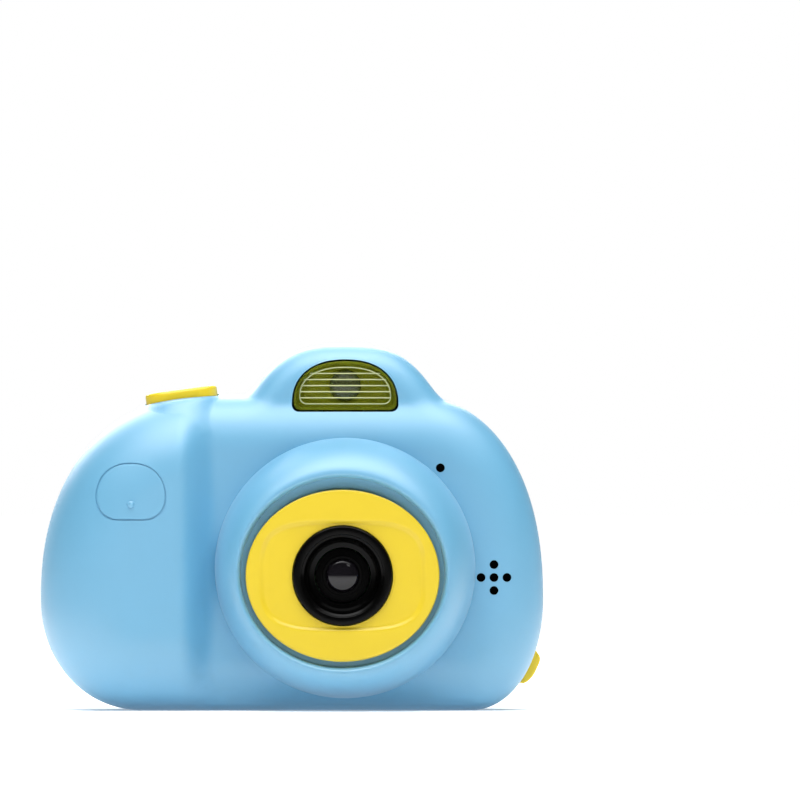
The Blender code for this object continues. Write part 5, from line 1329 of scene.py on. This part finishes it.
def keys():
    disc = arc((0, 0), MODE_RADIUS, 0, 355, 72)
    key("mode_cap", disc, MODE_X, MODE_Z, "mode_key", "mode_button")
    sign("mode_sign", mode_sign(), MODE_X, MODE_Z, "mode_key")
    key("power_cap", oblong(POWER_WIDTH, POWER_HEIGHT), POWER_X, POWER_Z, "power_key", "power_button")
    sign("power_sign", power_sign(), POWER_X, POWER_Z, "power_key")
    for name, turn in DPAD_TURNS.items():
        cap = pad_sector(DPAD_RADIUS, DPAD_RIB / 2 + RUN_GAP, DPAD_HUB + RUN_GAP, turn)
        key(f"pad_{name}_cap", cap, DPAD_X, DPAD_Z, f"pad_{name}", f"dpad_{name}_button")
    pad_signs = {
        "up": [arc((0, 0), ARROW_SIZE, 90, 330, 3)],
        "down": [arc((0, 0), ARROW_SIZE, 270, 510, 3)],
        "left": sun_sign(),
        "right": [chevron(-1), chevron(1)],
    }
    for name, outlines in pad_signs.items():
        (u, v), = arc((0, 0), SIGN_REACH, DPAD_TURNS[name], DPAD_TURNS[name], 1)
        sign(f"pad_{name}_sign", outlines, DPAD_X + u, DPAD_Z + v, f"pad_{name}")


# Screen, rear lens, plugs and port cover

def screen():
    outline = rounded_rectangle(SCREEN_WIDTH, SCREEN_HEIGHT, SCREEN_CORNER, 16)
    far = PANEL_Y - SCREEN_SINK
    window = plate("screen_glass", outline, far - SCREEN_THICK, far, SCREEN_X, SCREEN_Z, SCREEN_EDGE)
    place_piece(window, screen_finish(), "camera", ["screen_window"])


def rear_lens():
    far = BACK_Y + REAR_BOSS_RISE - REAR_LENS_SINK
    radius, edge = REAR_LENS_RADIUS, REAR_LENS_EDGE
    profile = [(0.0, far - REAR_LENS_THICK), (radius, far - REAR_LENS_THICK)]
    profile += arc((radius - edge, far - edge), edge, 0, 90, 5)
    for steps, drop in ((3, 0.0), (2, REAR_GROOVE), (1, REAR_GROOVE), (0, 0.0)):
        profile.append((REAR_DOME_RADIUS + steps * REAR_GROOVE, far - drop))
    profile += oval_arc((0.0, far), REAR_DOME_RADIUS, REAR_DOME_RISE, 10, 90, 8)
    window = turned("rear_lens_glass", profile, REAR_LENS_X, REAR_LENS_Z)
    place_piece(window, GLASS, "camera", ["rear_lens_window"])


def plugs():
    for name, (x, z) in SCREW_SPOTS.items():
        rim = np.array(arc((x, z), PLUG_RADIUS, 0, 360, 65)[:-1])
        rings = [(x, z) + (rim - (x, z)) * share for share in np.linspace(0.05, 1.0, 10)]
        loops = [behind(ring, rear_depth(ring) - PLUG_SINK) for ring in rings]
        loops.append(behind(rim, float(rear_depth([(x, z)])[0]) - PLUG_THICK))
        plug = loft(f"plug_{name}_smooth", loops)
        place_piece(plug, BLUE, "camera", [f"screw_plug_{name}"])


def cover_section(run, length, z):
    """Section of the rubber strip: rounded edges, a finger tab low down and a thin line at the hinge."""
    share = (length - run) / TAB_LENGTH
    swell = quarter_round(share / TAB_LOW_ROUND) * quarter_round((1 - share) / TAB_HIGH_ROUND)
    from_hinge = abs(z - PORT_HINGE) / (HINGE_LENGTH / 2)
    top = COVER_PROUD + TAB_PROUD * float(swell) - HINGE_SINK * float(smooth_step(1 - from_hinge))
    edge = COVER_EDGE
    front = arc((top - edge, PORT_FRONT + edge), edge, -90, 0, 4)
    back = arc((top - edge, PORT_BACK - edge), edge, 0, 90, 4)
    return [(-COVER_THICK, PORT_FRONT)] + front + back + [(-COVER_THICK, PORT_BACK)]


def port_cover():
    """One rubber strip; on the real cover its upper end stays in the side and the rest turns out about the
    thin line.
    """
    strip = side_strip("port_cover_strip", PORT_LOW, PORT_TOP, cover_section, 90)
    dress(strip, RUBBER, 40)
    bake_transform(strip)
    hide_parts("port_cover", "port_cover_anchor")


# Pieces shown as they come from the frame

SLOT_LOOKS = {
    "shell_blue": BLUE, "yellow_plastic": YELLOW, "black_plastic": SATIN_BLACK, "clear_window": CLEAR,
    "dark_glass": GLASS, "silver_reflector": MIRROR, "lamp_dark": LAMP, "yellow_rubber": RUBBER,
    "circuit_board": GREEN, "steel": STEEL, "battery_wrap": FOIL, "foam": FOAM, "display": PANEL_GREY,
}


def dress_frame():
    """Give each frame node the finish of its slot."""
    for row in frame["record"]["subparts"]:
        obj = frame["nodes"][row["node"]]
        obj.data.materials.clear()
        obj.data.materials.append(SLOT_LOOKS[row["material_slot"]])


# Stage, light and camera

PIXEL = 0.00017
PICTURE_SIDE = 800
FLOOR_REACH = 5.0
FLOOR_GLOW = 0.28
FADE_START = 0.10
FADE_END = 0.40
ROOM_LIGHT = 0.06
VIEW_DISTANCE = 3.0
VIEW_X = 0.01836
VIEW_Z = 0.0527


def light(name, place, target, size, power):
    lamp = bpy.data.lights.new(name, "AREA")
    lamp.shape = "RECTANGLE"
    lamp.size, lamp.size_y = size
    lamp.energy = power
    obj = bpy.data.objects.new(name, lamp)
    obj.location = place
    obj.visible_camera = False
    obj.rotation_euler = (Vector(target) - Vector(place)).to_track_quat("-Z", "Y").to_euler()
    bpy.context.scene.collection.objects.link(obj)


def world():
    """Even pale light all round, and plain white behind the camera's view."""
    made = bpy.data.worlds.new("studio")
    bpy.context.scene.world = made
    made.use_nodes = True
    tree = made.node_tree
    tree.nodes.clear()
    room = node(tree, "ShaderNodeBackground", {"Color": (0.95, 0.97, 1.0, 1.0), "Strength": ROOM_LIGHT})
    white = node(tree, "ShaderNodeBackground", {"Color": (1.0, 1.0, 1.0, 1.0), "Strength": 1.0})
    seen = node(tree, "ShaderNodeLightPath").outputs["Is Camera Ray"]
    shares = {0: seen, 1: room.outputs["Background"], 2: white.outputs["Background"]}
    mix = node(tree, "ShaderNodeMixShader", shares)
    node(tree, "ShaderNodeOutputWorld", {"Surface": mix.outputs["Shader"]})


def floor():
    """A pale sheet all round; away from the object it turns plain white for the camera."""
    bm = bmesh.new()
    bmesh.ops.create_grid(bm, x_segments=1, y_segments=1, size=FLOOR_REACH)
    sheet = mesh_object("studio_floor", bm)
    look = finish("floor_paper", (0.90, 0.90, 0.90), 0.9, drift=0.004, specular=0.0)
    tree = look.node_tree
    distance = node(tree, "ShaderNodeVectorMath", {0: object_place(tree)}, operation="LENGTH")
    limits = {"From Min": FADE_START, "From Max": FADE_END, "To Min": FLOOR_GLOW, "To Max": 1.0}
    fade = node(tree, "ShaderNodeMapRange", {"Value": distance.outputs["Value"], **limits}).outputs["Result"]
    seen = node(tree, "ShaderNodeLightPath").outputs["Is Camera Ray"]
    glow = node(tree, "ShaderNodeMix", {"Factor": seen, "A": FLOOR_GLOW, "B": fade}).outputs["Result"]
    lit = {"Emission Color": (1.0, 1.0, 1.0, 1.0), "Emission Strength": glow}
    fill(tree, tree.nodes["Principled BSDF"], lit)
    sheet.data.materials.append(look)


def camera():
    """Straight at the lens side; the object stands low and left in the picture."""
    data = bpy.data.cameras.new("photo_view")
    field = PIXEL * PICTURE_SIDE
    data.sensor_width = 36.0
    data.lens = data.sensor_width * VIEW_DISTANCE / field
    data.clip_start = 0.01
    obj = bpy.data.objects.new("photo_view", data)
    obj.location = (VIEW_X, -VIEW_DISTANCE, VIEW_Z)
    obj.rotation_euler = (math.pi / 2, 0.0, 0.0)
    bpy.context.scene.collection.objects.link(obj)
    bpy.context.scene.camera = obj


def studio():
    world()
    floor()
    middle = (0.0, 0.0, 0.03)
    light("top_box", (0.03, -0.12, 0.50), middle, (0.6, 0.40), 4.0)
    light("near_box", (-0.02, -0.11, 0.17), (-0.01, 0.0, 0.05), (0.24, 0.08), 0.09)
    light("right_box", (0.22, -0.60, 0.40), middle, (0.12, 0.12), 0.08)
    light("left_box", (-0.60, -0.10, 0.20), middle, (0.3, 0.4), 0.04)
    light("back_box", (-0.10, 0.45, 0.35), middle, (0.5, 0.4), 3.8)
    camera()


dress_frame()
front_shell()
lens_trim()
lens_hood()
lens_cell()
flash_parts()
grip_badge()
shutter_button()
rear_shell()
panel_bead()
touch_bumps()
keys()
screen()
rear_lens()
plugs()
port_cover()
studio()

scene = bpy.context.scene
scene.view_settings.view_transform = "Standard"
